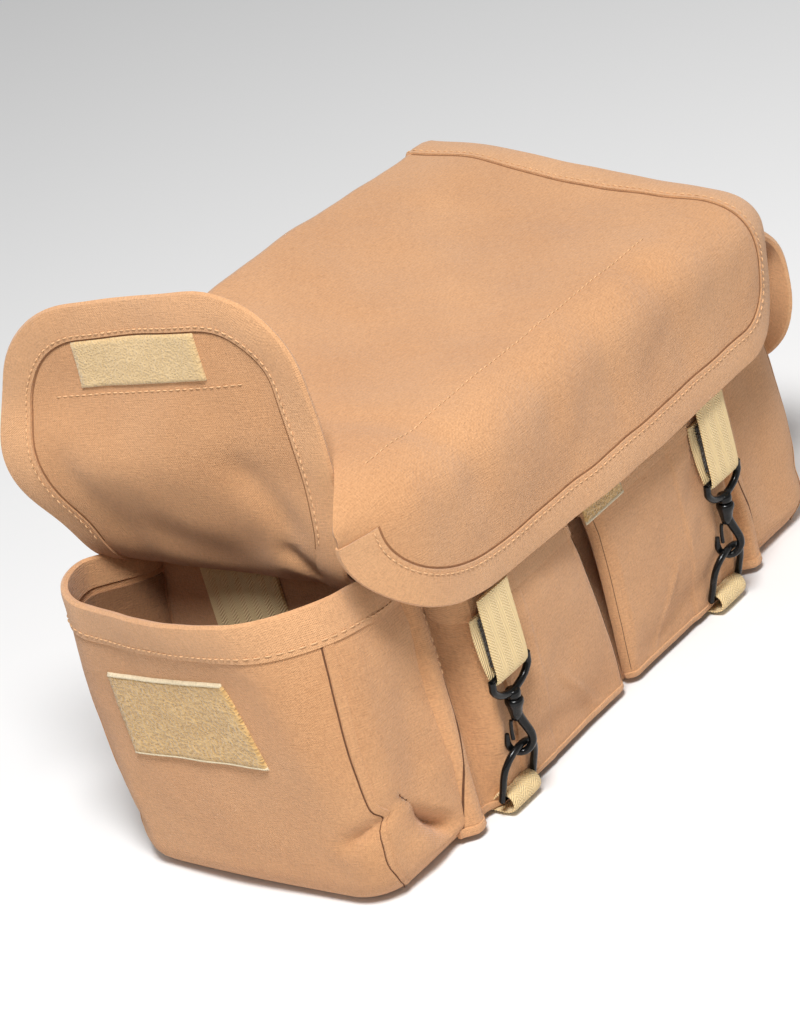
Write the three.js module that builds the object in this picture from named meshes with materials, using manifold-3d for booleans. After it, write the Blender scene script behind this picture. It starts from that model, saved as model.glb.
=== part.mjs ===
// Canvas tail bag: a box-shaped bag with a main flap, two front pockets, two end pockets with
// flaps of their own, and two webbing straps that clip to D-rings with swivel snap hooks.
// Millimetres. +X runs along the bag, -Y is the front, +Z is up. The origin is the centre of the
// base's underside.

import * as THREE from 'three';
import { mergeVertices } from 'three/addons/utils/BufferGeometryUtils.js';
import Module from 'manifold-3d';

const wasm = await Module();
wasm.setup();

// ---- driving dimensions -------------------------------------------------------------------

const GAP = 0.3; // clearance between pieces that are sewn or rest together
const RADIAN = Math.PI / 180;

// main body
const BODY_HALF_LENGTH = 140;
const BODY_HALF_WIDTH = 80;
const BODY_HEIGHT = 260; // before the slanted mouth is cut
const BODY_CORNER = 5;
const BODY_BACK_LEAN = 15.5; // how far the back comes in at BODY_HEIGHT
const CANVAS_WALL = 3; // canvas with its lining
const MOUTH_DROP = 6; // mouth below the flap's underside
const BOARD_THICKNESS = 3;
const BOARD_CORNER = 10;

// main flap
const FLAP_HALF_LENGTH = 156;
const FLAP_THICKNESS = 3;
const FLAP_BACK = { y: 68, z: 239 };
const FLAP_SLOPE = 0.148; // fall of the top towards the front
const FLAP_ROUND = 23; // radius where the top turns down
const FLAP_ROUND_Y = -97;
const FLAP_EDGE = { y: -114, z: 125 };
const FLAP_CORNER = 42;
const BINDING_WIDTH = 20;
const SIDE_DROOP = 9; // how far the flap's side edges hang below its top
const REINFORCEMENT = { halfLength: 118, backY: -88, lowZ: 165, thickness: 1.2 };

// end pockets
const END_POCKET = {
  halfWidth: 80,
  powerAt: (z) => 6 - 2.8 * (z / 164) ** 2, // squarer at the bottom than at the rim
  flare: 5, // how far the sides swell at half height
  bottom: 5,
  top: 164,
  rimRise: 6,
  depthAt: (z) => 47 + 24 * (z / 164) ** 2,
};
const RIM_HEIGHT = 21;
const RIM_THICKNESS = 1.6;
const LOOP_PATCH = { width: 78, height: 50, lowZ: 65, side: 22, thickness: 2 };
const ANCHOR_WEBBING = { width: 50, thickness: 2, lowZ: 60, highZ: 154, centreY: 10 };

// end pocket flaps: a cover over the mouth and a tongue that folds down over the outer face
const COVER_LENGTH = 72;
const TONGUE_LENGTH = 85;
const END_FLAP_HALF_WIDTH = 75.5;
const END_FLAP_THICKNESS = 3;
const END_FLAP_CORNER = 38;
const END_FLAP_BINDING = 19;
const END_FLAP_PIVOT = { outward: 6, z: 158.5 };
const CLOSED_COVER = 79 * RADIAN; // cover's lean from upright when shut
const CLOSED_TONGUE = 113.5 * RADIAN; // tongue's further fold when shut
const OPEN_LEAN = 16.5 * RADIAN;
const OPEN_FOLD = -14 * RADIAN; // the open tongue stands more upright than its cover
const OPEN_TWIST = 7 * RADIAN; // the open flap's back edge stands further out
const OPEN_PIVOT_Y = -75;
const FOLD_GAP = 0.6; // between the cover or the tongue and the fold's line
const HOOK_STRIP = { width: 75, height: 25, fromEdge: 13, thickness: 1.6 };

// front pockets
const SLIT_HALF = 2.6; // half the gap between the two front pockets
const FRONT_POCKET_OUTER = 131;
const FRONT_POCKET = {
  halfWidth: (FRONT_POCKET_OUTER - SLIT_HALF) / 2,
  powerAt: () => 5,
  flare: 0,
  bottom: 4.5,
  top: 118,
  rimRise: 0,
  depthAt: (z) => 21 * Math.min(1, z / 80) ** 0.9,
};
const FRONT_POCKET_CENTRE = (FRONT_POCKET_OUTER + SLIT_HALF) / 2;
const HEM = { height: 14, thickness: 1.2 };
const FRONT_PATCH = { width: 34, height: 34, lowZ: 109, thickness: 1.4 };

// closure straps and their hardware
const STRAP_X = 97;
const STRAP_SHIFT = -3; // both straps sit a little left of the middle
const WEBBING_WIDTH = 25;
const WEBBING = 1.5; // webbing thickness
const STRAP_TOP = 124;
const STRAP_FRONT_Y = -110.8;
const TAIL_TOP = 116;
const EYE_Z = 82;
const EYE_BEND = 3.3; // outer radius of the webbing's turn round the eye
const EYE_Y = STRAP_FRONT_Y + EYE_BEND;
const EYE_WIRE = 1.4;
const EYE_HALF_WIDTH = 14.5;
const HOOK_LEAN = 8 * RADIAN;
const HOOK_TURN = -45 * RADIAN;
const HOOK_WIRE = 1.5;
const HOOK_BEND = 6.3;
const HOOK_BEND_Z = -43.5;
const BARREL_TOP = -17.3;
const BARREL_END = -30;
const SEWN_END_TOP = 163;

// D-rings and the webbing loops that hold them
const RING_WIRE = 1.4;
const RING_HALF_WIDTH = 13.2;
const RING_LEG = 14.7;
const RING_LEAN = 20 * RADIAN;
const RING_BAR = { y: -91.5, z: 10.7 };
const RING_LOOP = { width: 23, z: 8, outer: 6, inner: 4.5 };

// ---- finishes -----------------------------------------------------------------------------

const FINISHES = {
  canvas: { color: 0xc99f76, roughness: 0.9, metalness: 0 },
  canvasTrim: { color: 0xcfa67c, roughness: 0.88, metalness: 0 },
  webbing: { color: 0xdcc79c, roughness: 0.85, metalness: 0 },
  loopTape: { color: 0xc4a873, roughness: 0.95, metalness: 0 },
  hookTape: { color: 0xb8a679, roughness: 0.8, metalness: 0 },
  darkTape: { color: 0x4a3b22, roughness: 0.95, metalness: 0 },
  blackMetal: { color: 0x17171a, roughness: 0.35, metalness: 0.8 },
  board: { color: 0x3a3632, roughness: 0.8, metalness: 0 },
};

// ---- shape helpers ------------------------------------------------------------------------

// A closed three.js geometry as a solid that can be joined and cut.
function solid(geometry) {
  const bare = geometry.clone();
  bare.deleteAttribute('normal');
  bare.deleteAttribute('uv');
  const merged = mergeVertices(bare, 1e-4);
  return new wasm.Manifold(
    new wasm.Mesh({
      numProp: 3,
      vertProperties: new Float32Array(merged.attributes.position.array),
      triVerts: new Uint32Array(merged.index.array),
    }),
  );
}

function geometryOf(body) {
  const mesh = body.getMesh();
  const geometry = new THREE.BufferGeometry();
  geometry.setAttribute('position', new THREE.BufferAttribute(mesh.vertProperties, 3));
  geometry.setIndex(new THREE.BufferAttribute(mesh.triVerts, 1));
  geometry.computeVertexNormals();
  return geometry;
}

// Every vertex of a geometry moved by a function of its place.
function reshaped(geometry, move) {
  const position = geometry.attributes.position;
  const point = new THREE.Vector3();
  for (let i = 0; i < position.count; i += 1) {
    point.fromBufferAttribute(position, i);
    move(point);
    position.setXYZ(i, point.x, point.y, point.z);
  }
  geometry.computeVertexNormals();
  return geometry;
}

function prism(shape, height, steps = 1) {
  return new THREE.ExtrudeGeometry(shape, {
    depth: height,
    steps,
    bevelEnabled: false,
    curveSegments: 6,
  });
}

// A shape drawn in (y, z), run along X and centred on centreX.
function alongX(shape, length, centreX = 0) {
  return reshaped(prism(shape, length), (p) => {
    p.set(p.z - length / 2 + centreX, p.x, p.y);
  });
}

// A shape drawn in (x, z), run along Y from nearY.
function alongY(shape, nearY, farY) {
  return reshaped(prism(shape, farY - nearY), (p) => {
    p.set(p.x, farY - p.z, p.y);
  });
}

function polygon(points) {
  return new THREE.Shape(points.map(([a, b]) => new THREE.Vector2(a, b)));
}

// A box between two corners.
function block(low, high) {
  const size = high.map((value, i) => value - low[i]);
  const geometry = new THREE.BoxGeometry(...size);
  geometry.translate(...high.map((value, i) => (value + low[i]) / 2));
  return geometry;
}

function roundedRectangle(halfX, halfY, radius) {
  const shape = new THREE.Shape();
  shape.absarc(halfX - radius, halfY - radius, radius, 0, Math.PI / 2);
  shape.absarc(radius - halfX, halfY - radius, radius, Math.PI / 2, Math.PI);
  shape.absarc(radius - halfX, radius - halfY, radius, Math.PI, 1.5 * Math.PI);
  shape.absarc(halfX - radius, radius - halfY, radius, 1.5 * Math.PI, 2 * Math.PI);
  return shape;
}

// A round wire along a smooth curve through the given points.
function wire(points, radius, steps) {
  const section = new THREE.Shape();
  section.absarc(0, 0, radius, 0, 2 * Math.PI);
  const path = new THREE.CatmullRomCurve3(
    points.map((point) => new THREE.Vector3(...point)),
    false,
    'centripetal',
  );
  return new THREE.ExtrudeGeometry(section, { steps, extrudePath: path, curveSegments: 4 });
}

function crossBar(radius, halfLength) {
  const bar = new THREE.CylinderGeometry(radius, radius, 2 * halfLength, 10);
  bar.rotateZ(Math.PI / 2);
  return bar;
}

function mesh(name, geometry, finish) {
  const part = new THREE.Mesh(geometry, new THREE.MeshStandardMaterial(FINISHES[finish]));
  part.name = name;
  return part;
}

// ---- main body ----------------------------------------------------------------------------

function flapTopAt(y) {
  return FLAP_BACK.z + FLAP_SLOPE * (y - FLAP_BACK.y);
}

// An upright block of the body's plan, whose back comes in above half height.
function bodyBlock(inset) {
  const plan = roundedRectangle(
    BODY_HALF_LENGTH - inset,
    BODY_HALF_WIDTH - inset,
    BODY_CORNER - inset,
  );
  return reshaped(prism(plan, BODY_HEIGHT, 2), (p) => {
    if (p.y > 0 && p.z === BODY_HEIGHT) {
      p.y -= BODY_BACK_LEAN;
    }
    p.z += inset;
  });
}

function mainBodyShell() {
  const outer = bodyBlock(0);
  const inner = bodyBlock(CANVAS_WALL);
  const mouthAt = (y) => flapTopAt(y) - FLAP_THICKNESS - MOUTH_DROP;
  const reach = BODY_HALF_WIDTH + 10;
  const aboveMouth = alongX(
    polygon([
      [-reach, mouthAt(-reach)],
      [reach, mouthAt(reach)],
      [reach, 2 * BODY_HEIGHT],
      [-reach, 2 * BODY_HEIGHT],
    ]),
    4 * BODY_HALF_LENGTH,
  );
  return geometryOf(solid(outer).subtract(solid(inner)).subtract(solid(aboveMouth)));
}

function baseBoard() {
  const inset = CANVAS_WALL + 1;
  const board = prism(
    roundedRectangle(BODY_HALF_LENGTH - inset, BODY_HALF_WIDTH - inset, BOARD_CORNER),
    BOARD_THICKNESS,
  );
  board.translate(0, 0, CANVAS_WALL + GAP);
  return board;
}

// ---- pockets ------------------------------------------------------------------------------
// A pocket is drawn with its back on y = 0 and its face towards +Y, then turned into place.

const POCKET_POINTS = 14;
const POCKET_STEP = 24; // tallest step between two outlines
const LEAST_DEPTH = 0.8; // a cavity never closes up where its pocket is shallow

function swellAt(pocket, z) {
  return pocket.flare * Math.sin((Math.PI * z) / pocket.top);
}

// A pocket's face as a fraction of its depth, at a distance across from its middle.
function faceFraction(pocket, across, z) {
  const power = pocket.powerAt(z);
  const halfWidth = pocket.halfWidth + swellAt(pocket, z);
  return Math.max(0, 1 - Math.abs(across / halfWidth) ** power) ** (1 / power);
}

// The solid between a pocket's back and its face, grown outward by grow.
function pocketBlock(pocket, grow, low, high, throughBack) {
  const halfWidth = pocket.halfWidth + grow;
  const points = [];
  for (let i = 0; i <= POCKET_POINTS; i += 1) {
    const turn = (Math.PI * i) / POCKET_POINTS;
    points.push([Math.cos(turn), Math.sin(turn)]);
  }
  if (throughBack) {
    points.push([-1, -1], [1, -1]);
  }
  const geometry = prism(polygon(points), high - low, Math.ceil((high - low) / POCKET_STEP));
  return reshaped(geometry, (p) => {
    const z = p.z + low;
    const softness = 2 / pocket.powerAt(z);
    const out = p.y > 0 ? p.y ** softness : p.y;
    const across = Math.sign(p.x) * Math.abs(p.x) ** softness;
    const swell = swellAt(pocket, z) * Math.max(0, out);
    p.z = z + pocket.rimRise * (out - 1) * (z / pocket.top);
    p.x = across * (halfWidth + swell);
    p.y = out * Math.max(LEAST_DEPTH, pocket.depthAt(z) + grow);
  });
}

function pocketWall(pocket) {
  const above = pocket.top + 10;
  const outside = pocketBlock(pocket, 0, pocket.bottom, pocket.top, false);
  const inside = pocketBlock(pocket, -CANVAS_WALL, pocket.bottom + CANVAS_WALL, above, true);
  return geometryOf(solid(outside).subtract(solid(inside)));
}

// A band round the outside of a pocket's mouth.
function pocketBand(pocket, height, thickness) {
  const low = pocket.top - height;
  const outside = pocketBlock(pocket, 2 * GAP + thickness, low, pocket.top, false);
  const inside = pocketBlock(pocket, 2 * GAP, low - 2, pocket.top + 2, true);
  return geometryOf(solid(outside).subtract(solid(inside)));
}

// A thin patch that follows an end pocket's face.
function facePatch(pocket, patch) {
  const geometry = new THREE.BoxGeometry(patch.width, patch.thickness, patch.height, 8, 1, 3);
  return reshaped(geometry, (p) => {
    p.x += patch.side;
    p.z += patch.lowZ + patch.height / 2;
    const fraction = faceFraction(pocket, p.x, p.z);
    const rise = pocket.rimRise * (fraction - 1) * (p.z / pocket.top);
    const face = pocket.depthAt(p.z - rise) * fraction;
    p.y += face + 2 * GAP + patch.thickness / 2;
  });
}

function anchorWebbing() {
  const side = ANCHOR_WEBBING.centreY;
  return block(
    [side - ANCHOR_WEBBING.width / 2, GAP, ANCHOR_WEBBING.lowZ],
    [side + ANCHOR_WEBBING.width / 2, GAP + ANCHOR_WEBBING.thickness, ANCHOR_WEBBING.highZ],
  );
}

function endPocketGroup(side) {
  const group = new THREE.Group();
  const outward = side === 'left' ? -1 : 1;
  group.position.set(outward * (BODY_HALF_LENGTH + GAP), 0, 0);
  group.rotation.z = (-outward * Math.PI) / 2;
  group.add(mesh(`end_pocket_${side}`, pocketWall(END_POCKET), 'canvas'));
  group.add(
    mesh(`end_pocket_${side}_rim`, pocketBand(END_POCKET, RIM_HEIGHT, RIM_THICKNESS), 'canvasTrim'),
  );
  group.add(mesh(`end_pocket_${side}_loop_patch`, facePatch(END_POCKET, LOOP_PATCH), 'loopTape'));
  group.add(mesh(`end_pocket_${side}_webbing`, anchorWebbing(), 'webbing'));
  return group;
}

function frontPocketGroup(side) {
  const group = new THREE.Group();
  const direction = side === 'left' ? -1 : 1;
  group.position.set(direction * FRONT_POCKET_CENTRE, -(BODY_HALF_WIDTH + GAP), 0);
  group.rotation.z = Math.PI;
  group.add(mesh(`front_pocket_${side}`, pocketWall(FRONT_POCKET), 'canvas'));
  const hem = pocketBand(FRONT_POCKET, HEM.height, HEM.thickness);
  group.add(mesh(`front_pocket_${side}_hem`, hem, 'canvasTrim'));
  return group;
}

function frontPatch() {
  const face = FRONT_POCKET.depthAt(FRONT_POCKET.top) + HEM.thickness + 3 * GAP;
  const y = -(BODY_HALF_WIDTH + face);
  return block(
    [-FRONT_PATCH.width / 2, y - FRONT_PATCH.thickness, FRONT_PATCH.lowZ],
    [FRONT_PATCH.width / 2, y, FRONT_PATCH.lowZ + FRONT_PATCH.height],
  );
}

// ---- end pocket flaps ---------------------------------------------------------------------
// A flap is drawn upright in (x, z) from its pivot, with its inner face towards +Y.

function endFlapOutline(halfWidth, low, high, corner) {
  const shape = new THREE.Shape();
  shape.moveTo(-halfWidth, low);
  shape.lineTo(halfWidth, low);
  shape.absarc(halfWidth - corner, high - corner, corner, 0, Math.PI / 2);
  shape.absarc(corner - halfWidth, high - corner, corner, Math.PI / 2, Math.PI);
  return shape;
}

function endFlapSheet(shape) {
  return alongY(shape, -END_FLAP_THICKNESS / 2, END_FLAP_THICKNESS / 2);
}

function endFlapCover() {
  const half = END_FLAP_HALF_WIDTH;
  return endFlapSheet(
    polygon([
      [-half, 0],
      [half, 0],
      [half, COVER_LENGTH - FOLD_GAP],
      [-half, COVER_LENGTH - FOLD_GAP],
    ]),
  );
}

function tonguePanel() {
  const inset = END_FLAP_BINDING;
  return endFlapSheet(
    endFlapOutline(
      END_FLAP_HALF_WIDTH - inset,
      FOLD_GAP,
      TONGUE_LENGTH - inset,
      END_FLAP_CORNER - inset,
    ),
  );
}

function tongueBinding() {
  const inset = END_FLAP_BINDING - GAP;
  const whole = endFlapSheet(
    endFlapOutline(END_FLAP_HALF_WIDTH, FOLD_GAP, TONGUE_LENGTH, END_FLAP_CORNER),
  );
  const opening = alongY(
    endFlapOutline(END_FLAP_HALF_WIDTH - inset, -1, TONGUE_LENGTH - inset, END_FLAP_CORNER - inset),
    -END_FLAP_THICKNESS,
    END_FLAP_THICKNESS,
  );
  return geometryOf(solid(whole).subtract(solid(opening)));
}

function hookStrip() {
  const face = END_FLAP_THICKNESS / 2 + GAP;
  const high = TONGUE_LENGTH - HOOK_STRIP.fromEdge - 5;
  return block(
    [-HOOK_STRIP.width / 2, face, high - HOOK_STRIP.height],
    [HOOK_STRIP.width / 2, face + HOOK_STRIP.thickness, high],
  );
}

// The cover turns about the pivot, and the tongue about the inner corner of the cover's far edge.
function endFlapGroup(side, lean, twist, fold) {
  const frame = new THREE.Group();
  const outward = side === 'left' ? -1 : 1;
  frame.position.set(outward * BODY_HALF_LENGTH, 0, 0);
  frame.rotation.z = (-outward * Math.PI) / 2;
  const cover = new THREE.Group();
  const pivotX = twist === 0 ? 0 : OPEN_PIVOT_Y;
  cover.position.set(pivotX, END_FLAP_PIVOT.outward, END_FLAP_PIVOT.z);
  cover.rotation.order = 'ZXY';
  cover.rotation.set(-lean, 0, twist);
  const sheets = new THREE.Group();
  sheets.position.x = -pivotX;
  sheets.add(mesh(`end_flap_${side}_cover`, endFlapCover(), 'canvas'));
  const tongue = new THREE.Group();
  tongue.position.set(0, END_FLAP_THICKNESS / 2, COVER_LENGTH);
  tongue.rotation.x = -fold;
  const tonguePieces = [
    mesh(`end_flap_${side}_tongue`, tonguePanel(), 'canvas'),
    mesh(`end_flap_${side}_binding`, tongueBinding(), 'canvasTrim'),
    mesh(`end_flap_${side}_hook_strip`, hookStrip(), 'hookTape'),
  ];
  for (const piece of tonguePieces) {
    piece.position.y = -END_FLAP_THICKNESS / 2;
    tongue.add(piece);
  }
  sheets.add(tongue);
  cover.add(sheets);
  frame.add(cover);
  return frame;
}

// ---- main flap ----------------------------------------------------------------------------

const ROUND_CENTRE_Z = flapTopAt(FLAP_ROUND_Y) - FLAP_ROUND;
const ROUND_STEPS = 6;

// The flap's outline in (y, z) at a depth below its outer face, from the back to the front edge.
function flapLine(depth, backY, lowZ) {
  const points = [[backY, flapTopAt(backY) - depth]];
  const start = Math.PI / 2 + Math.atan(FLAP_SLOPE);
  const fall = Math.atan2(FLAP_ROUND_Y - FLAP_ROUND - FLAP_EDGE.y, ROUND_CENTRE_Z - FLAP_EDGE.z);
  const end = Math.PI - fall;
  for (let i = 0; i <= ROUND_STEPS; i += 1) {
    const angle = start + ((end - start) * i) / ROUND_STEPS;
    points.push([
      FLAP_ROUND_Y + (FLAP_ROUND - depth) * Math.cos(angle),
      ROUND_CENTRE_Z + (FLAP_ROUND - depth) * Math.sin(angle),
    ]);
  }
  const share = (ROUND_CENTRE_Z - lowZ) / (ROUND_CENTRE_Z - FLAP_EDGE.z);
  const frontY = FLAP_ROUND_Y - FLAP_ROUND;
  points.push([frontY + (FLAP_EDGE.y - frontY) * share + depth, lowZ]);
  return points;
}

function flapLayer(top, bottom, backY, lowZ, length) {
  const outer = flapLine(top, backY, lowZ);
  const inner = flapLine(bottom, backY, lowZ);
  return alongX(polygon([...outer, ...inner.reverse()]), length);
}

// The flap's outline seen from the front, with round lower corners.
function flapOutline(inset) {
  const half = FLAP_HALF_LENGTH - inset;
  const low = FLAP_EDGE.z + inset;
  const corner = FLAP_CORNER - inset;
  const high = 2 * FLAP_BACK.z;
  const shape = new THREE.Shape();
  shape.absarc(corner - half, low + corner, corner, Math.PI, 1.5 * Math.PI);
  shape.absarc(half - corner, low + corner, corner, 1.5 * Math.PI, 2 * Math.PI);
  shape.lineTo(half, high);
  shape.lineTo(-half, high);
  return alongY(shape, -2 * BODY_HALF_WIDTH, 2 * BODY_HALF_WIDTH);
}

// The side edges hang inward, square to the flap's face.
function drooped(geometry) {
  const inner = FLAP_HALF_LENGTH - BINDING_WIDTH;
  return reshaped(geometry, (p) => {
    const share = Math.max(0, (Math.abs(p.x) - inner) / BINDING_WIDTH);
    const turn = Math.atan2(p.z - ROUND_CENTRE_Z, FLAP_ROUND_Y - p.y);
    const angle = Math.min(Math.max(turn, 0), Math.PI / 2);
    const droop = SIDE_DROOP * share ** 2;
    p.y += droop * Math.cos(angle);
    p.z -= droop * Math.sin(angle);
  });
}

function mainFlapGroup() {
  const group = new THREE.Group();
  const whole = solid(
    flapLayer(0, FLAP_THICKNESS, FLAP_BACK.y, FLAP_EDGE.z, 2 * FLAP_HALF_LENGTH + 2),
  );
  const panel = whole.intersect(solid(flapOutline(BINDING_WIDTH)));
  const border = solid(flapOutline(0)).subtract(solid(flapOutline(BINDING_WIDTH - GAP)));
  group.add(mesh('main_flap_panel', drooped(geometryOf(panel)), 'canvas'));
  group.add(mesh('main_flap_binding', drooped(geometryOf(whole.intersect(border))), 'canvasTrim'));
  const layer = flapLayer(
    FLAP_THICKNESS + GAP,
    FLAP_THICKNESS + GAP + REINFORCEMENT.thickness,
    REINFORCEMENT.backY,
    REINFORCEMENT.lowZ,
    2 * REINFORCEMENT.halfLength,
  );
  group.add(mesh('main_flap_reinforcement', layer, 'canvas'));
  return group;
}

// ---- closure straps, hooks and rings ------------------------------------------------------

// The strap's upper end, sewn to the inside of the flap's front.
function sewnEnd(centreX) {
  const outer = flapLine(FLAP_THICKNESS + GAP, FLAP_BACK.y, STRAP_TOP + 2);
  const inner = flapLine(FLAP_THICKNESS + GAP + WEBBING, FLAP_BACK.y, STRAP_TOP + 2);
  const low = outer.at(-1);
  const lowInner = inner.at(-1);
  const lean = (FLAP_EDGE.y - FLAP_ROUND_Y + FLAP_ROUND) / (ROUND_CENTRE_Z - FLAP_EDGE.z);
  const rise = SEWN_END_TOP - low[1];
  return alongX(
    polygon([
      low,
      lowInner,
      [lowInner[0] - lean * rise, SEWN_END_TOP],
      [low[0] - lean * rise, SEWN_END_TOP],
    ]),
    WEBBING_WIDTH,
    centreX,
  );
}

// Webbing that runs down, round the hook's eye and back up behind itself.
function foldedStrap(centreX) {
  const shape = new THREE.Shape();
  shape.moveTo(STRAP_FRONT_Y, STRAP_TOP);
  shape.absarc(EYE_Y, EYE_Z, EYE_BEND, Math.PI, 2 * Math.PI, false);
  shape.lineTo(EYE_Y + EYE_BEND, TAIL_TOP);
  shape.lineTo(EYE_Y + EYE_BEND - WEBBING, TAIL_TOP);
  shape.absarc(EYE_Y, EYE_Z, EYE_BEND - WEBBING, 2 * Math.PI, Math.PI, true);
  shape.lineTo(STRAP_FRONT_Y + WEBBING, STRAP_TOP);
  return alongX(shape, WEBBING_WIDTH, centreX);
}

// A strip of tape inside the strap, behind its front layer or before its tail.
function strapTape(centreX, nearY, thickness) {
  return block(
    [centreX - WEBBING_WIDTH / 2 + 1, nearY, EYE_Z + 6],
    [centreX + WEBBING_WIDTH / 2 - 1, nearY + thickness, TAIL_TOP - 1],
  );
}

function eyeFrame() {
  const half = EYE_HALF_WIDTH;
  const frame = wire(
    [
      [-half, 0, 0],
      [-half, 0, -5],
      [-10, 0, -10.5],
      [0, 0, -14],
      [10, 0, -10.5],
      [half, 0, -5],
      [half, 0, 0],
    ],
    EYE_WIRE,
    20,
  );
  const collar = new THREE.CylinderGeometry(3.6, 4, 4.6, 14);
  collar.rotateX(Math.PI / 2);
  collar.translate(0, 0, BARREL_TOP + GAP + 2.3);
  const bar = crossBar(EYE_WIRE, half + EYE_WIRE * 0.6);
  return geometryOf(solid(frame).add(solid(bar)).add(solid(collar)));
}

function hookBody() {
  const barrel = new THREE.LatheGeometry(
    [
      new THREE.Vector2(0, BARREL_END),
      new THREE.Vector2(2.8, BARREL_END),
      new THREE.Vector2(4.2, BARREL_TOP - 3),
      new THREE.Vector2(4, BARREL_TOP),
      new THREE.Vector2(0, BARREL_TOP),
    ],
    14,
  );
  barrel.rotateX(Math.PI / 2);
  const points = [
    [0.6, 0, BARREL_END + 4],
    [3, 0, BARREL_END - 4],
    [5.4, 0, BARREL_END - 9],
  ];
  for (let i = 0; i <= 4; i += 1) {
    const angle = (-Math.PI * i) / 4;
    points.push([HOOK_BEND * Math.cos(angle), 0, HOOK_BEND_Z + HOOK_BEND * Math.sin(angle)]);
  }
  points.push([-HOOK_BEND + 0.3, 0, HOOK_BEND_Z + 6]);
  return geometryOf(solid(barrel).add(solid(wire(points, HOOK_WIRE, 22))));
}

function hookGate() {
  return block([-3.7, -1.3, -42], [-2.7, 1.3, BARREL_END - 0.4]);
}

function strapGroup(side) {
  const group = new THREE.Group();
  const centreX = (side === 'left' ? -STRAP_X : STRAP_X) + STRAP_SHIFT;
  const tape = EYE_BEND - WEBBING - 1.5 * GAP;
  group.add(mesh(`closure_strap_${side}_sewn_end`, sewnEnd(centreX), 'webbing'));
  group.add(mesh(`closure_strap_${side}`, foldedStrap(centreX), 'webbing'));
  const hookTape = strapTape(centreX, STRAP_FRONT_Y + WEBBING + GAP, tape);
  const loopTape = strapTape(centreX, EYE_Y + GAP / 2, tape);
  group.add(mesh(`closure_strap_${side}_hook_tape`, hookTape, 'darkTape'));
  group.add(mesh(`closure_strap_${side}_loop_tape`, loopTape, 'darkTape'));
  const hanging = new THREE.Group();
  hanging.position.set(centreX, EYE_Y, EYE_Z);
  hanging.rotation.x = HOOK_LEAN;
  hanging.add(mesh(`snap_hook_${side}_eye`, eyeFrame(), 'blackMetal'));
  const turned = new THREE.Group();
  turned.rotation.z = HOOK_TURN;
  turned.add(mesh(`snap_hook_${side}_body`, hookBody(), 'blackMetal'));
  turned.add(mesh(`snap_hook_${side}_gate`, hookGate(), 'blackMetal'));
  hanging.add(turned);
  group.add(hanging);
  return group;
}

function dRing() {
  const points = [
    [RING_HALF_WIDTH, 0, 0],
    [RING_HALF_WIDTH, 0, RING_LEG / 2],
  ];
  for (let i = 0; i <= 6; i += 1) {
    const angle = (Math.PI * i) / 6;
    points.push([
      RING_HALF_WIDTH * Math.cos(angle),
      0,
      RING_LEG + RING_HALF_WIDTH * Math.sin(angle),
    ]);
  }
  points.push([-RING_HALF_WIDTH, 0, RING_LEG / 2], [-RING_HALF_WIDTH, 0, 0]);
  const bow = wire(points, RING_WIRE, 24);
  const bar = crossBar(RING_WIRE, RING_HALF_WIDTH + RING_WIRE * 0.6);
  return geometryOf(solid(bow).add(solid(bar)));
}

// A loop of webbing sewn into the bottom seam, round the ring's bar.
function ringLoop(centreX) {
  const circle = (radius) => new THREE.Shape().absarc(RING_BAR.y, RING_LOOP.z, radius, 0, 2 * Math.PI);
  const lowZ = RING_LOOP.z - RING_LOOP.outer;
  const tail = polygon([
    [RING_BAR.y, lowZ],
    [-BODY_HALF_WIDTH - GAP, lowZ],
    [-BODY_HALF_WIDTH - GAP, lowZ + WEBBING],
    [RING_BAR.y, lowZ + WEBBING],
  ]);
  const outside = solid(alongX(circle(RING_LOOP.outer), RING_LOOP.width, centreX));
  const inside = solid(alongX(circle(RING_LOOP.inner), RING_LOOP.width + 2, centreX));
  const sewn = solid(alongX(tail, RING_LOOP.width, centreX));
  return geometryOf(outside.add(sewn).subtract(inside));
}

function ringGroup(side) {
  const group = new THREE.Group();
  const centreX = (side === 'left' ? -STRAP_X : STRAP_X) + STRAP_SHIFT;
  const ring = mesh(`d_ring_${side}`, dRing(), 'blackMetal');
  ring.position.set(centreX, RING_BAR.y, RING_BAR.z);
  ring.rotation.x = RING_LEAN;
  group.add(ring);
  group.add(mesh(`d_ring_${side}_loop`, ringLoop(centreX), 'webbing'));
  return group;
}

// ---- the whole bag ------------------------------------------------------------------------

const bag = new THREE.Group();
bag.add(mesh('main_body_shell', mainBodyShell(), 'canvas'));
bag.add(mesh('base_board', baseBoard(), 'board'));
bag.add(mesh('front_closure_patch', frontPatch(), 'loopTape'));
bag.add(mainFlapGroup());
for (const side of ['left', 'right']) {
  bag.add(endPocketGroup(side));
  bag.add(frontPocketGroup(side));
  bag.add(strapGroup(side));
  bag.add(ringGroup(side));
}
bag.add(endFlapGroup('left', OPEN_LEAN, OPEN_TWIST, OPEN_FOLD));
bag.add(endFlapGroup('right', CLOSED_COVER, 0, CLOSED_TONGUE));

export default bag;
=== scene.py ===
"""The looks of a canvas tail bag: sewn canvas sheets, bindings, seams, webbing and black hardware.

Shapes are worked out in millimetres in the part's frame (+X along the bag, -Y front, +Z up).
"""

import math

import bmesh
import bpy
import numpy as np
from mathutils import Matrix, Vector


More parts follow.
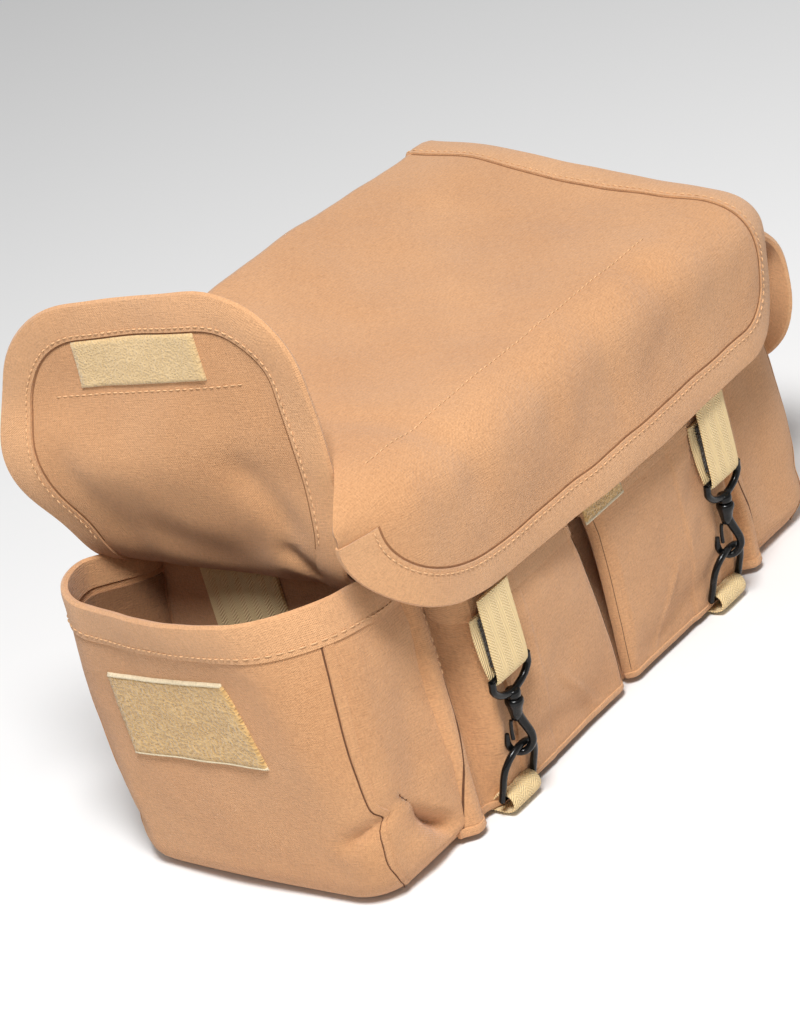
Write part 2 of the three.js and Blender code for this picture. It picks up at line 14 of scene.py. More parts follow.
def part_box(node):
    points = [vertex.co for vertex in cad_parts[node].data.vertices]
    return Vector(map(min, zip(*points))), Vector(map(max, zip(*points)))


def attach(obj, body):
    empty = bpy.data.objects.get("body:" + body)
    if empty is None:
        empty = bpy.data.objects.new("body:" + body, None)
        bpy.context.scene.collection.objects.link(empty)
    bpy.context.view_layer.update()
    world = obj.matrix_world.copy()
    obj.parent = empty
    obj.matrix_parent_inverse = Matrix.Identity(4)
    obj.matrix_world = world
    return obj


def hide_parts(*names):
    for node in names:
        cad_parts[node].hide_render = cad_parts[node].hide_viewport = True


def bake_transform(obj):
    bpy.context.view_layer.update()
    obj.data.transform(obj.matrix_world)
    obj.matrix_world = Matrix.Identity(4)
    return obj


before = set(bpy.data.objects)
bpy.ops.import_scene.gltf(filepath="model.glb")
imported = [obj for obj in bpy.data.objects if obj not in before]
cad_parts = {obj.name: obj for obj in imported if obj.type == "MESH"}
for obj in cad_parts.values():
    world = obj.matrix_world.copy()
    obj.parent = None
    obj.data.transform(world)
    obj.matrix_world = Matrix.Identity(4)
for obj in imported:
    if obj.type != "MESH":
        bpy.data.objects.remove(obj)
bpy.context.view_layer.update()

MM = 0.001
SIDES = {"left": -1, "right": 1}  # with each side's direction along X
CANVAS = 2.4  # thickness of the doubled canvas
FACE = CANVAS / 2  # from a sheet's middle to its face
WALL_X, WALL_Y = 140.0, 80.0  # half of the body's length and depth
gauss_places, gauss_weights = np.polynomial.legendre.leggauss(24)
NODES, WEIGHTS = (gauss_places + 1) / 2, gauss_weights / 2


# ---- numbers ----

def clamp(x):
    return np.clip(x, 0, 1)


def ramp(x, low, high):
    """0 below low, 1 above high, smooth between."""
    t = clamp((np.asarray(x, float) - low) / (high - low))
    return t * t * (3 - 2 * t)


def bump(x, centre, width):
    return np.exp(-(((np.asarray(x, float) - centre) / width) ** 2))


def waves(a, b, seed, lengths, height, count=12):
    """A soft random unevenness of cloth, from a fixed seed."""
    rng = np.random.default_rng(seed)
    total = 0.0
    for _ in range(count):
        length = math.exp(rng.uniform(math.log(lengths[0]), math.log(lengths[1])))
        angle, phase = rng.uniform(0, math.pi), rng.uniform(0, 2 * math.pi)
        along = math.cos(angle) * a + math.sin(angle) * b
        total = total + length / lengths[1] * np.sin(2 * math.pi * along / length + phase)
    return height * total / math.sqrt(count / 2)


def fold(a, b, start, end, width, depth):
    """A dent along a line from start to end, that fades out at both ends."""
    (a0, b0), (a1, b1) = start, end
    da, db = a1 - a0, b1 - b0
    length = math.hypot(da, db)
    t = ((a - a0) * da + (b - b0) * db) / length**2
    off = ((a - a0) * db - (b - b0) * da) / length
    fade = ramp(t, -0.25, 0.25) * (1 - ramp(t, 0.75, 1.25))
    return -depth * np.exp(-((off / width) ** 2)) * fade


def folds(a, b, *dents):
    """Several dents: each has a start, an end, a width and a depth."""
    return sum(fold(a, b, *dent) for dent in dents)


def integrate(angle_at, s):
    """Cosine and sine of a direction summed along a length s, for curves given by their slope."""
    s = np.asarray(s, float)
    angle = angle_at(s[..., None] * NODES)
    return s * (np.cos(angle) @ WEIGHTS), s * (np.sin(angle) @ WEIGHTS)


def stack(x, y, z):
    x, y, z = np.broadcast_arrays(x, y, z)
    return np.stack([x, y, z], -1).astype(float)


def unit(vectors):
    return vectors / np.linalg.norm(vectors, axis=-1, keepdims=True)


def run_along(path):
    """The distance along a path at each of its points."""
    return np.concatenate([[0], np.cumsum(np.linalg.norm(np.diff(path, axis=0), axis=1))])


def row(start, end, b, count):
    """A straight flat path across a sheet."""
    return np.stack([np.linspace(start, end, count), np.full(count, float(b))], 1)


def grid(across, along):
    """UV coordinates of a loft, from its outline's girth and the distance along it."""
    return np.stack(np.broadcast_arrays(across, np.asarray(along, float)[:, None]), -1)


def bead(wide, narrow, face, rise):
    """The outline of a thin raised line on a face, as (inset, height)."""
    return [(wide, face - 0.3), (narrow, face + rise), (-narrow, face + rise), (-wide, face - 0.3)]


# ---- materials ----

def srgb(red, green, blue):
    def linear(c):
        c /= 255
        return c / 12.92 if c <= 0.04045 else ((c + 0.055) / 1.055) ** 2.4

    return (linear(red), linear(green), linear(blue), 1)


def shade(color, share):
    return tuple(min(1, c * share) for c in color[:3]) + (1,)


class Finish:
    """A small builder of node materials."""

    def __init__(self, name):
        self.material = bpy.data.materials.new(name)
        self.material.use_nodes = True
        self.tree = self.material.node_tree
        self.shader = self.tree.nodes["Principled BSDF"]

    def node(self, kind, **inputs):
        made = self.tree.nodes.new(kind)
        for key, value in inputs.items():
            self.feed(made.inputs[key.replace("_", " ")], value)
        return made

    def feed(self, socket, value):
        if isinstance(value, bpy.types.NodeSocket):
            self.tree.links.new(value, socket)
        else:
            socket.default_value = value

    def set(self, **inputs):
        for key, value in inputs.items():
            self.shader.inputs[key.replace("_", " ")].default_value = value

    def math(self, operation, *values):
        made = self.tree.nodes.new("ShaderNodeMath")
        made.operation = operation
        for socket, value in zip(made.inputs, values):
            self.feed(socket, value)
        return made.outputs[0]

    def mix(self, factor, a, b):
        made = self.tree.nodes.new("ShaderNodeMix")
        made.data_type = "RGBA"
        self.feed(made.inputs[0], factor)
        self.feed(made.inputs[6], a)
        self.feed(made.inputs[7], b)
        return made.outputs[2]

    def noise(self, vector, scale, detail=3.0):
        made = self.node("ShaderNodeTexNoise", Vector=vector, Scale=scale, Detail=detail)
        return made.outputs["Fac"]

    def between(self, value, low, high):
        made = self.node("ShaderNodeMapRange")
        for key, v in (("Value", value), ("From Min", low), ("From Max", high)):
            self.feed(made.inputs[key], v)
        return made.outputs[0]

    def uv(self):
        made = self.node("ShaderNodeUVMap")
        made.uv_map = "UVMap"
        split = self.tree.nodes.new("ShaderNodeSeparateXYZ")
        self.tree.links.new(made.outputs[0], split.inputs[0])
        return made.outputs[0], split.outputs[0], split.outputs[1]

    def finish(self, color, roughness, height, distance, strength=1.0):
        relief = self.node("ShaderNodeBump", Strength=strength, Distance=distance, Height=height)
        self.feed(self.shader.inputs["Base Color"], color)
        self.feed(self.shader.inputs["Roughness"], roughness)
        self.feed(self.shader.inputs["Normal"], relief.outputs[0])
        return self.material


def sines(f, value, pitch):
    """A wave of the given pitch in metres, from 0 to 1."""
    turned = f.math("MULTIPLY", value, 2 * math.pi / pitch)
    return f.math("MULTIPLY_ADD", f.math("SINE", turned), 0.5, 0.5)


def slub(f, place, scale, stretch):
    """Threads of uneven thickness: noise drawn out along one direction."""
    drawn = f.node("ShaderNodeMapping", Vector=place)
    drawn.inputs["Scale"].default_value = stretch
    return f.noise(drawn.outputs[0], scale, 2.0)


def canvas(name, light, dark, pitch=0.0011, relief=0.0005):
    """Tight cotton canvas: crossing threads with slubs, and slow fading of its colour."""
    f = Finish(name)
    place, u, v = f.uv()
    warp, weft = sines(f, u, pitch), sines(f, v, pitch * 0.85)
    over = f.math("MULTIPLY", warp, weft)
    under = f.math("MULTIPLY", f.math("SUBTRACT", 1.0, warp), f.math("SUBTRACT", 1.0, weft))
    weave = f.math("ADD", over, under)
    slubs = f.math("ADD", slub(f, place, 1500.0, (1.0, 0.16, 1.0)), slub(f, place, 1300.0, (0.16, 1.0, 1.0)))
    grain = f.math("MULTIPLY_ADD", slubs, 0.8, f.math("MULTIPLY", weave, 0.5))
    fading = f.between(f.noise(place, 14.0, 5.0), 0.35, 0.68)
    flecks = f.between(f.noise(place, 900.0, 2.0), 0.36, 0.62)
    threads = f.between(slubs, 0.75, 1.25)
    color = f.mix(fading, dark, light)
    color = f.mix(f.math("MULTIPLY", flecks, 0.5), color, shade(dark, 0.72))
    color = f.mix(f.math("MULTIPLY", threads, 0.45), color, shade(light, 1.15))
    f.set(Sheen_Weight=0.25, Sheen_Roughness=0.5, Specular_IOR_Level=0.2)
    return f.finish(color, f.math("MULTIPLY_ADD", fading, 0.1, 0.82), grain, relief)


def webbing(name, light, dark):
    """Herringbone webbing: slanting ribs that turn at every few millimetres of its width."""
    f = Finish(name)
    place, u, v = f.uv()
    zig = f.math("PINGPONG", u, 0.0042)
    ribs = sines(f, f.math("ADD", v, zig), 0.0017)
    cords = sines(f, u, 0.0014)
    height = f.math("MULTIPLY_ADD", ribs, 0.75, f.math("MULTIPLY", cords, 0.25))
    spots = f.between(f.noise(place, 60.0, 4.0), 0.3, 0.7)
    color = f.mix(f.math("MULTIPLY_ADD", ribs, 0.6, 0.2), dark, light)
    color = f.mix(f.math("MULTIPLY", spots, 0.25), color, dark)
    f.set(Sheen_Weight=0.2, Specular_IOR_Level=0.2)
    return f.finish(color, 0.82, height, 0.0006)


def pile(name, light, dark, scale=620.0, relief=0.0009):
    """Fuzzy loop or hook tape."""
    f = Finish(name)
    place = f.uv()[0]
    cell = f.node("ShaderNodeTexVoronoi", Vector=place, Scale=scale)
    fuzz = f.noise(place, scale * 1.6, 4.0)
    height = f.math("ADD", cell.outputs["Distance"], fuzz)
    patches = f.between(f.noise(place, 70.0, 4.0), 0.3, 0.7)
    color = f.mix(f.between(height, 0.5, 1.3), dark, light)
    color = f.mix(f.math("MULTIPLY", patches, 0.3), color, dark)
    f.set(Sheen_Weight=0.5, Specular_IOR_Level=0.15)
    return f.finish(color, 0.9, height, relief)


def fine_canvas(name, light, dark):
    return canvas(name, light, dark, 0.0008)


def fine_pile(name, light, dark):
    return pile(name, light, dark, 900.0, 0.0004)


def lacquer(name):
    """Black lacquered steel with scuffs."""
    f = Finish(name)
    place = f.node("ShaderNodeTexCoord").outputs["Object"]
    orange_peel = f.noise(place, 900.0, 3.0)
    scuffs = f.between(f.noise(place, 160.0, 6.0), 0.56, 0.72)
    color = f.mix(f.math("MULTIPLY", scuffs, 0.3), (0.004, 0.004, 0.004, 1), (0.035, 0.034, 0.033, 1))
    f.set(Coat_Weight=0.12, Coat_Roughness=0.08, Specular_IOR_Level=0.22)
    return f.finish(color, f.math("MULTIPLY_ADD", scuffs, 0.2, 0.2), orange_peel, 0.00006)


def plain(name, color):
    """Thread, board, and the dark lines painted as shade along seams, hem edges and the pocket slit, with a
    little grain.
    """
    f = Finish(name)
    grain = f.noise(f.node("ShaderNodeTexCoord").outputs["Object"], 400.0, 3.0)
    mixed = f.mix(f.between(grain, 0.35, 0.65), shade(color, 0.75), color)
    return f.finish(mixed, 0.9, grain, 0.0002)


LOOKS = {
    "canvas": (canvas, (213, 161, 115), (198, 144, 98)),
    # the same canvas painted darker: painted shade for the inside of the end pockets and under the main flap
    "canvas_inside": (canvas, (160, 115, 78), (140, 98, 64)),
    "canvas_trim": (canvas, (219, 168, 122), (206, 153, 107)),
    "webbing": (webbing, (250, 224, 174), (222, 190, 132)),
    "loop_tape": (pile, (222, 184, 124), (184, 142, 84)),
    "hook_tape": (fine_pile, (218, 188, 140), (196, 164, 114)),
    "dark_tape": (pile, (64, 48, 28), (30, 21, 12)),
    "selvage": (fine_canvas, (240, 224, 192), (222, 202, 164)),
    "black_metal": (lacquer,),
    "thread": (plain, (226, 180, 134)),
    # a dark line painted as the shadow beside a felled seam
    "seam": (plain, (104, 66, 40)),
    # a dark strip painted as the shadow in the slit between the front pockets
    "dark_edge": (plain, (48, 31, 20)),
    # painted shade along the inner edge of the hems
    "crease": (plain, (150, 104, 68)),
    "board": (plain, (58, 54, 50)),
}
LOOK = {name: make(name, *(srgb(*color) for color in colors)) for name, (make, *colors) in LOOKS.items()}


# ---- meshes ----

class Builder:
    """Gathers lofted bodies and makes one mesh of them."""

    def __init__(self):
        self.points, self.faces, self.uvs = [], [], []
        self.count = 0

    def loft(self, rings, uvs):
        """rings[i][j] is a closed outline at each step; uvs[i] has one more entry than the outline."""
        n, m = rings.shape[:2]
        index = np.arange(n * m).reshape(n, m) + self.count
        self.points.append(rings.reshape(-1, 3))
        self.count += n * m
        for i in range(n - 1):
            for j in range(m):
                after = (j + 1) % m
                self.faces.append((index[i, j], index[i + 1, j], index[i + 1, after], index[i, after]))
                self.uvs += [uvs[i, j], uvs[i + 1, j], uvs[i + 1, j + 1], uvs[i, j + 1]]
        for i in (0, n - 1):
            for j in range((m - 1) // 2):
                corners = list(dict.fromkeys([j, j + 1, m - 2 - j, m - 1 - j]))
                if i:
                    corners.reverse()
                self.faces.append(tuple(index[i, c] for c in corners))
                self.uvs += [uvs[i, c] for c in corners]

    def object(self, name, look, sharp=38):
        data = bpy.data.meshes.new(name)
        points = np.concatenate(self.points) * MM
        data.from_pydata(points.tolist(), [], [tuple(int(i) for i in f) for f in self.faces])
        layer = data.uv_layers.new(name="UVMap")
        layer.data.foreach_set("uv", (np.array(self.uvs, float) * MM).ravel())
        data.materials.append(LOOK[look])
        work = bmesh.new()
        work.from_mesh(data)
        bmesh.ops.recalc_face_normals(work, faces=work.faces)
        work.to_mesh(data)
        work.free()
        data.shade_smooth()
        data.set_sharp_from_angle(angle=math.radians(sharp))
        made = bpy.data.objects.new(name, data)
        bpy.context.scene.collection.objects.link(made)
        return made


def lofted(name, look, rings, uvs, sharp=38):
    """A piece that is one body."""
    builder = Builder()
    builder.loft(rings, uvs)
    return builder.object(name, look, sharp)


def slab(name, look, upper, lower, a, b, facing, sharp=38):
    """A closed body between the two faces of a sheet, with its flat coordinates as UV map."""
    flat = np.stack([a, b], -1)
    if facing > 0:
        rings = np.concatenate([upper, lower[:, ::-1]], 1)
        around = np.concatenate([flat, flat[:, ::-1]], 1)
    else:
        rings = np.concatenate([upper[:, ::-1], lower], 1)
        around = np.concatenate([flat[:, ::-1], flat], 1)
    return lofted(name, look, rings, np.concatenate([around, around[:, :1]], 1), sharp)


class Sheet:
    """A cloth surface: place(a, b) gives the point of its middle for flat coordinates in mm."""

    def __init__(self, place, thickness=CANVAS, facing=1):
        self.place, self.thickness, self.facing = place, thickness, facing

    def at(self, a, b, height=0.0):
        a, b, height = (np.asarray(v, float) for v in (a, b, height))
        a, b, height = np.broadcast_arrays(a, b, height)
        step = 0.5
        across = self.place(a + step, b) - self.place(a - step, b)
        along = self.place(a, b + step) - self.place(a, b - step)
        normal = np.cross(across, along) * self.facing
        normal /= np.maximum(np.linalg.norm(normal, axis=-1, keepdims=True), 1e-9)
        return self.place(a, b) + height[..., None] * normal

    def fill(self, name, look, rows, lefts, rights, across=60):
        """The whole sheet as a closed slab, row by row, from lefts[i] to rights[i] at b = rows[i]."""
        a = lefts[:, None] + (rights - lefts)[:, None] * np.linspace(0, 1, across)
        b = np.repeat(rows[:, None], across, 1)
        half = self.thickness / 2
        return slab(name, look, self.at(a, b, half), self.at(a, b, -half), a, b, self.facing)

    def strip(self, name, look, path, profile):
        """A body of constant outline along a path; the outline is given as (inset, height)."""
        path, profile = np.asarray(path, float), np.asarray(profile, float)
        inward = normals(path)
        a = path[:, :1] + inward[:, :1] * profile[:, 0]
        b = path[:, 1:] + inward[:, 1:] * profile[:, 0]
        girth = run_along(np.vstack([profile, profile[:1]]))
        return lofted(name, look, self.at(a, b, profile[:, 1]), grid(girth, run_along(path)))

    def patch(self, name, look, low, high, height, thickness, steps=(24, 16), turn=0.0, pivot=None):
        """A flat piece laid on the sheet, with soft edges."""
        centre = (np.array(low) + np.array(high)) / 2
        half = (np.array(high) - np.array(low)) / 2
        edge = min(0.8, abs(thickness))
        a_cols, b_rows = (
            np.concatenate([[-reach], np.linspace(-reach + edge, reach - edge, count), [reach]])
            for reach, count in zip(half, steps)
        )
        rise_a, rise_b = np.ones(len(a_cols)), np.ones(len(b_rows))
        rise_a[[0, -1]] = rise_b[[0, -1]] = 0.35
        a, b = np.meshgrid(a_cols, b_rows)
        pivot = centre if pivot is None else np.array(pivot)
        off_a, off_b = centre[0] + a - pivot[0], centre[1] + b - pivot[1]
        cos, sin = math.cos(turn), math.sin(turn)
        flat_a, flat_b = pivot[0] + off_a * cos - off_b * sin, pivot[1] + off_a * sin + off_b * cos
        upper = self.at(flat_a, flat_b, height + thickness * rise_b[:, None] * rise_a)
        lower = self.at(flat_a, flat_b, height - 0.2 * np.sign(thickness))
        return slab(name, look, upper, lower, a, b, self.facing, 60)

    def stitches(self, name, path, height, pitch=3.8, length=2.6, radius=0.34):
        """A row of separate thread stitches that lie on the sheet along a flat path."""
        builder = Builder()
        path = np.asarray(path, float)
        run = run_along(path)
        angles = np.arange(6) * math.pi / 3
        dive = radius * np.array([-1.0, 0.3, 0.7, 0.3, -1.0])
        girth = radius * np.array([0.4, 1, 1.1, 1, 0.4])[:, None]
        for start in np.arange(pitch / 2, run[-1] - length, pitch):
            s = start + length * np.array([0, 0.12, 0.5, 0.88, 1])
            a, b = np.interp(s, run, path[:, 0]), np.interp(s, run, path[:, 1])
            centres = self.at(a, b, height + dive)
            upward = self.at(a, b, height + dive + 1.0) - centres
            sideways = unit(np.cross(np.gradient(centres, axis=0), upward))
            round_x = (girth * np.cos(angles))[..., None] * sideways[:, None]
            round_y = (girth * np.sin(angles))[..., None] * upward[:, None]
            builder.loft(centres[:, None] + round_x + round_y, np.zeros((5, 7, 2)))
        return builder.object(name, "thread", 80)


def normals(path):
    """Unit vectors to the left of a flat path."""
    ahead = unit(np.gradient(path, axis=0))
    return np.stack([-ahead[:, 1], ahead[:, 0]], 1)


def offset(path, distance):
    return np.asarray(path) + normals(np.asarray(path, float)) * distance


def resample(path, step):
    path = np.asarray(path, float)
    run = run_along(path)
    s = np.linspace(0, run[-1], max(2, int(run[-1] / step) + 1))
    return np.stack([np.interp(s, run, path[:, i]) for i in range(path.shape[1])], 1)


def smooth(points, per_step=8):
    """A Catmull-Rom curve through the points."""
    p = np.asarray(points, float)
    p = np.vstack([2 * p[0] - p[1], p, 2 * p[-1] - p[-2]])
    t = np.linspace(0, 1, per_step, endpoint=False)[:, None]
    out = []
    for before, here, there, after in zip(p, p[1:], p[2:], p[3:]):
        low = 2 * here + (there - before) * t + (2 * before - 5 * here + 4 * there - after) * t**2
        out.append(0.5 * (low + (3 * here - before - 3 * there + after) * t**3))
    return np.vstack(out + [p[-2:-1]])


def circle(centre, radius, first, second, sides):
    angles = (np.arange(sides) * 2 * math.pi / sides)[:, None]
    return centre + radius * (np.cos(angles) * first + np.sin(angles) * second)


def round_grid(radii, run, sides):
    return grid(np.asarray(radii)[:, None] * 2 * math.pi * np.arange(sides + 1) / sides, run)


def tube(builder, path, radii, sides=16):
    """A round bar along a path in space."""
    path = np.asarray(path, float)
    radii = np.broadcast_to(np.asarray(radii, float), len(path))
    ahead = unit(np.gradient(path, axis=0))
    up = np.array([0.0, 0.0, 1.0]) if abs(ahead[0][2]) < 0.9 else np.array([1.0, 0.0, 0.0])
    rings = []
    for centre, radius, direction in zip(path, radii, ahead):
        up = unit(up - direction * (up @ direction))
        rings.append(circle(centre, radius, np.cross(direction, up), up, sides))
    builder.loft(np.array(rings)[:, ::-1], round_grid(radii, run_along(path), sides))


def lathe(builder, origin, axis, profile, sides=24):
    """A turned body; profile is (distance along the axis, radius)."""
    axis = unit(np.array(axis, float))
    first = unit(np.cross(axis, [0.0, 0.0, 1.0] if abs(axis[2]) < 0.9 else [1.0, 0.0, 0.0]))
    second = np.cross(axis, first)
    run, radii = np.array(profile, float).T
    rings = [circle(origin + axis * at, radius, first, second, sides) for at, radius in profile]
    builder.loft(np.array(rings)[:, ::-1], round_grid(radii, run, sides))


def cad_box(node):
    """The CAD node's low and high corner in millimetres."""
    return [np.array(corner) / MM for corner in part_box(node)]


def dress(piece, slot, body, *nodes):
    """Parents a piece to the empty of its body, or bakes its transform when body gives two bodies and the
    blend's ends, and hides the nodes it stands for. The slot is not used.
    """
    if isinstance(body, str):
        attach(piece, body)
    else:
        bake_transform(piece)
    if nodes:
        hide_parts(*nodes)


# ---- main flap ----

FLAP_SLOPE = math.atan(0.148)  # of the top, down to the front
FLAP_TOP = 173.0  # from the back fold to the round
FLAP_TURN = 23.0  # radius of the round
FLAP_ARC = FLAP_TURN * (math.pi / 2 - FLAP_SLOPE + 0.09)
FLAP_FALL = 61.0  # what hangs down in front
FLAP_LENGTH = FLAP_TOP + FLAP_ARC + FLAP_FALL
FLAP_BACK = -26.0  # the edge that is sewn to the back wall, behind the fold at 0
FLAP_HEM_START = 198.0  # the left edge is turned under up to here
FOLD_Y, FOLD_Z = 72.0, 241.0  # the fold at the body's back edge
CORNER_TALL = 66.0  # of the round left front corner
DROOP_FROM = 136.0  # beyond it the flap's sides droop


def flap_angle(s):
    """How far below level the flap heads, at a distance from its back edge."""
    through = ramp(s, FLAP_TOP - 6, FLAP_TOP + FLAP_ARC + 6)
    settle = -0.03 + 0.075 * ramp(s, 20, 150)
    on_top = FLAP_SLOPE + settle + (math.pi / 2 + 0.07 - FLAP_SLOPE - 0.045) * through
    return on_top - (FLAP_SLOPE + 1.85) * ramp(-s, 0, 9)


def flap_place(a, s):
    run, fall = integrate(flap_angle, s)
    lean = flap_angle(s)
    share = np.clip((np.abs(a) - DROOP_FROM) / 30, 0, 1.5)
    droop = share**2 * (5 + np.where(a < 0, 4, 2) * ramp(s, 150, 215))
    middle = clamp(1 - (a / 150) ** 2)
    arch = 3.5 * middle * (1 - ramp(s, 0, 60)) * ramp(s, -14, 0)
    sag = -4.0 * middle * bump(s, 95, 55)
    ripple = waves(a, s, 11, (50, 170), 1.5) + waves(a, s, 12, (22, 60), 0.34)
    ripple = ripple + folds(a, s, ((-118, 128), (-92, 236), 11, 2.0), ((60, 172), (84, 250), 12, 1.8),
                            ((-40, 190), (-30, 262), 14, 1.6), ((12, 200), (18, 268), 10, 1.2))
    height = arch + sag + ripple * ramp(s, -12, 0) - droop
    edge_wave = 2.2 * np.sin(a / 31.0 + 1.0) * ramp(s, 215, FLAP_LENGTH)
    return stack(a, FOLD_Y - run - np.sin(lean) * height - edge_wave, FOLD_Z - fall + np.cos(lean) * height)


FLAP = Sheet(flap_place, CANVAS, -1)


def corner(rows, wide, tall):
    """How far an elliptical front corner of the flap comes in at each row."""
    t = clamp((rows - FLAP_LENGTH + tall) / tall)
    return wide * (1 - np.sqrt(1 - t**2))


def flap_border():
    """The flap's left and right edge at each distance from its fold, with round front corners."""
    turn = np.linspace(0, math.pi / 2, 34)[1:]
    straight = FLAP_LENGTH - CORNER_TALL
    behind, level = np.linspace(FLAP_BACK, -1, 14), np.linspace(0, straight, 76)
    rows = np.concatenate([behind, level, straight + CORNER_TALL * np.sin(turn)])
    left = 139 + 11 * ramp(rows, 0, 55) + 30 * ramp(rows, 153, 182) - corner(rows, 98, CORNER_TALL)
    right = 149 - 5 * (1 - ramp(rows, 0, 40)) + 20 * ramp(rows, 130, 220) - corner(rows, 40, 36)
    return rows, -left, right


rows, lefts, rights = flap_border()
FLAP_HINGE = ((0, 0.071, 0.24), (0, 0.045, 0.238))
FLAP_BODIES = ("bag", "main_flap", *FLAP_HINGE)
BINDING_PROFILE = [
    (20, FACE - 0.3), (19.8, FACE + 0.9), (12, FACE + 1.15), (3, FACE + 1.1), (0.2, FACE + 0.6), (-0.9, 0),
    (0.2, -FACE - 0.6), (3, -FACE - 1.0), (12, -FACE - 1.0), (19.6, -FACE - 0.8), (20, -FACE + 0.3),
]
HEM_SHADE_OUTLINE = bead(0.45, 0.4, FACE, 0.2)  # a painted shade line along a hem's inner edge


def narrowed(share):
    """The binding's outline at a share of its width."""
    return [(inset * share, height) for inset, height in BINDING_PROFILE]


flap_canvas = FLAP.fill("main_flap_canvas", "canvas", rows, lefts, rights, 112)
dress(flap_canvas, "canvas", FLAP_BODIES, "main_flap_panel")
hemmed = np.stack([lefts, rows], 1)[rows > FLAP_HEM_START]
front_edge = row(lefts[-1], rights[-1], FLAP_LENGTH, 60)[1:-1]
right_side = np.stack([rights, rows], 1)[::-1]
flap_path = resample(np.vstack([hemmed, front_edge, right_side])[::-1], 3.2)
flap_binding = FLAP.strip("main_flap_hem", "canvas_trim", flap_path, narrowed(0.87))
dress(flap_binding, "canvas_trim", FLAP_BODIES, "main_flap_binding")
# a painted shade line along the hem's inner edge
hem_shade_strip = FLAP.strip("main_flap_hem_edge", "crease", offset(flap_path, 18.0), HEM_SHADE_OUTLINE)
dress(hem_shade_strip, "canvas_trim", FLAP_BODIES)
stitched = FLAP.stitches("main_flap_hem_stitches", offset(flap_path, 15.0), FACE + 1.05)
dress(stitched, "canvas_trim", FLAP_BODIES)
sewn_on = FLAP.stitches("main_flap_back_stitches", row(-132, 136, FLAP_BACK + 6, 90), FACE + 0.05)
dress(sewn_on, "canvas", "bag")
band = FLAP.stitches("main_flap_band_stitches", row(-146, 92, 170, 90), FACE + 0.05)
dress(band, "canvas", "main_flap")
band_corners = (-118, 184), (118, 236)
# the band under the flap takes the canvas painted darker, as painted shade
reinforcement = FLAP.patch("main_flap_band", "canvas_inside", *band_corners, -FACE - 1.3, 1.0, (60, 16))
dress(reinforcement, "canvas", "main_flap", "main_flap_reinforcement")


# ---- end flaps ----

END_LENGTH = 171.0  # from the hinge to the free edge
END_HALF = 88.0  # half the width
END_CORNER = 52.0  # radius of the two round corners
COVER_ROWS = 36.0  # where the cover's piece meets the tongue's
END_HINGE_X = 141.5  # the seam on the end wall
SHUT_RUNS = [0, 24, 62, 84, 102, 128, 153, 171]
SHUT_HEADINGS = [-33, -21, 9, 51, 85, 100, 112, 118]  # degrees below level at those runs


def open_flap_place(a, s):
    """The left flap stands open and curls outward, more at the back than at the front."""
    back = np.clip((a + END_HALF) / (2 * END_HALF), 0, 1.05)
    curl = 29 + 22 * back**1.3

    def heading(length):
        along = clamp(length / curl[..., None])
        rise = (108 - 14 * back[..., None]) * np.maximum(along * (2 - along), 0) ** 0.9
        late = 3 * ramp(length, 40, 110) + 9 * back[..., None] * ramp(length, 70, 140)
        return np.radians(-20 + rise + late)

    run, rise = integrate(heading, s)
    swell = bump(s, 86, 42) * back**1.6
    drawn = ramp(s, 80, 135) * back**0.6
    pinched = 8 * ramp(s, 12, 48) * np.maximum(1 - back, 0) ** 1.5 + 3 * ramp(s, 10, 60)
    x = -END_HINGE_X - run - 7 * swell + 8 * drawn
    y = -75 + (a + END_HALF) * (0.85 + 0.03 * back) - pinched + 13 * swell + 7 * drawn
    z = 149.5 + 5 * back + rise - 5.5 * drawn
    ripple = waves(a, s, 21, (45, 130), 1.5) + waves(a, s, 22, (18, 50), 0.35)
    ripple = ripple + folds(a, s, ((-72, 16), (-46, 34), 5, 4.5), ((-64, 8), (-44, 16), 5, 4.0),
                            ((-20, 20), (40, 46), 12, 2.6), ((-58, 40), (-30, 84), 9, 2.4),
                            ((48, 30), (60, 96), 10, 2.4))
    return stack(x - ripple, y, z)


def shut_flap_place(a, s):
    """The right flap lies shut: over the pocket's mouth and down its outer face."""
    def heading(length):
        return np.radians(np.interp(length, SHUT_RUNS, SHUT_HEADINGS))

    run, fall = integrate(heading, s)
    lean = heading(s)
    share = np.abs(a / END_HALF)
    x = END_HINGE_X + run * (1 - 0.02 * share**2.5)
    z = 160 - fall - 9 * share**3 * ramp(s, 10, 60)
    ripple = waves(a, s, 31, (45, 120), 1.1) + fold(a, s, (-60, 30), (-20, 90), 10, -1.6)
    return stack(x + np.sin(lean) * ripple, -a * 0.92, z + np.cos(lean) * ripple)


def end_border():
    """Half the width of an end flap at each distance from its hinge, with round corners."""
    turn = np.linspace(0, math.pi / 2, 16)[1:]
    straight = END_LENGTH - END_CORNER
    rows = np.concatenate([np.linspace(0, straight, 46), straight + END_CORNER * np.sin(turn)])
    half = np.concatenate([np.full(46, END_HALF), END_HALF - END_CORNER * (1 - np.cos(turn))])
    return rows, half


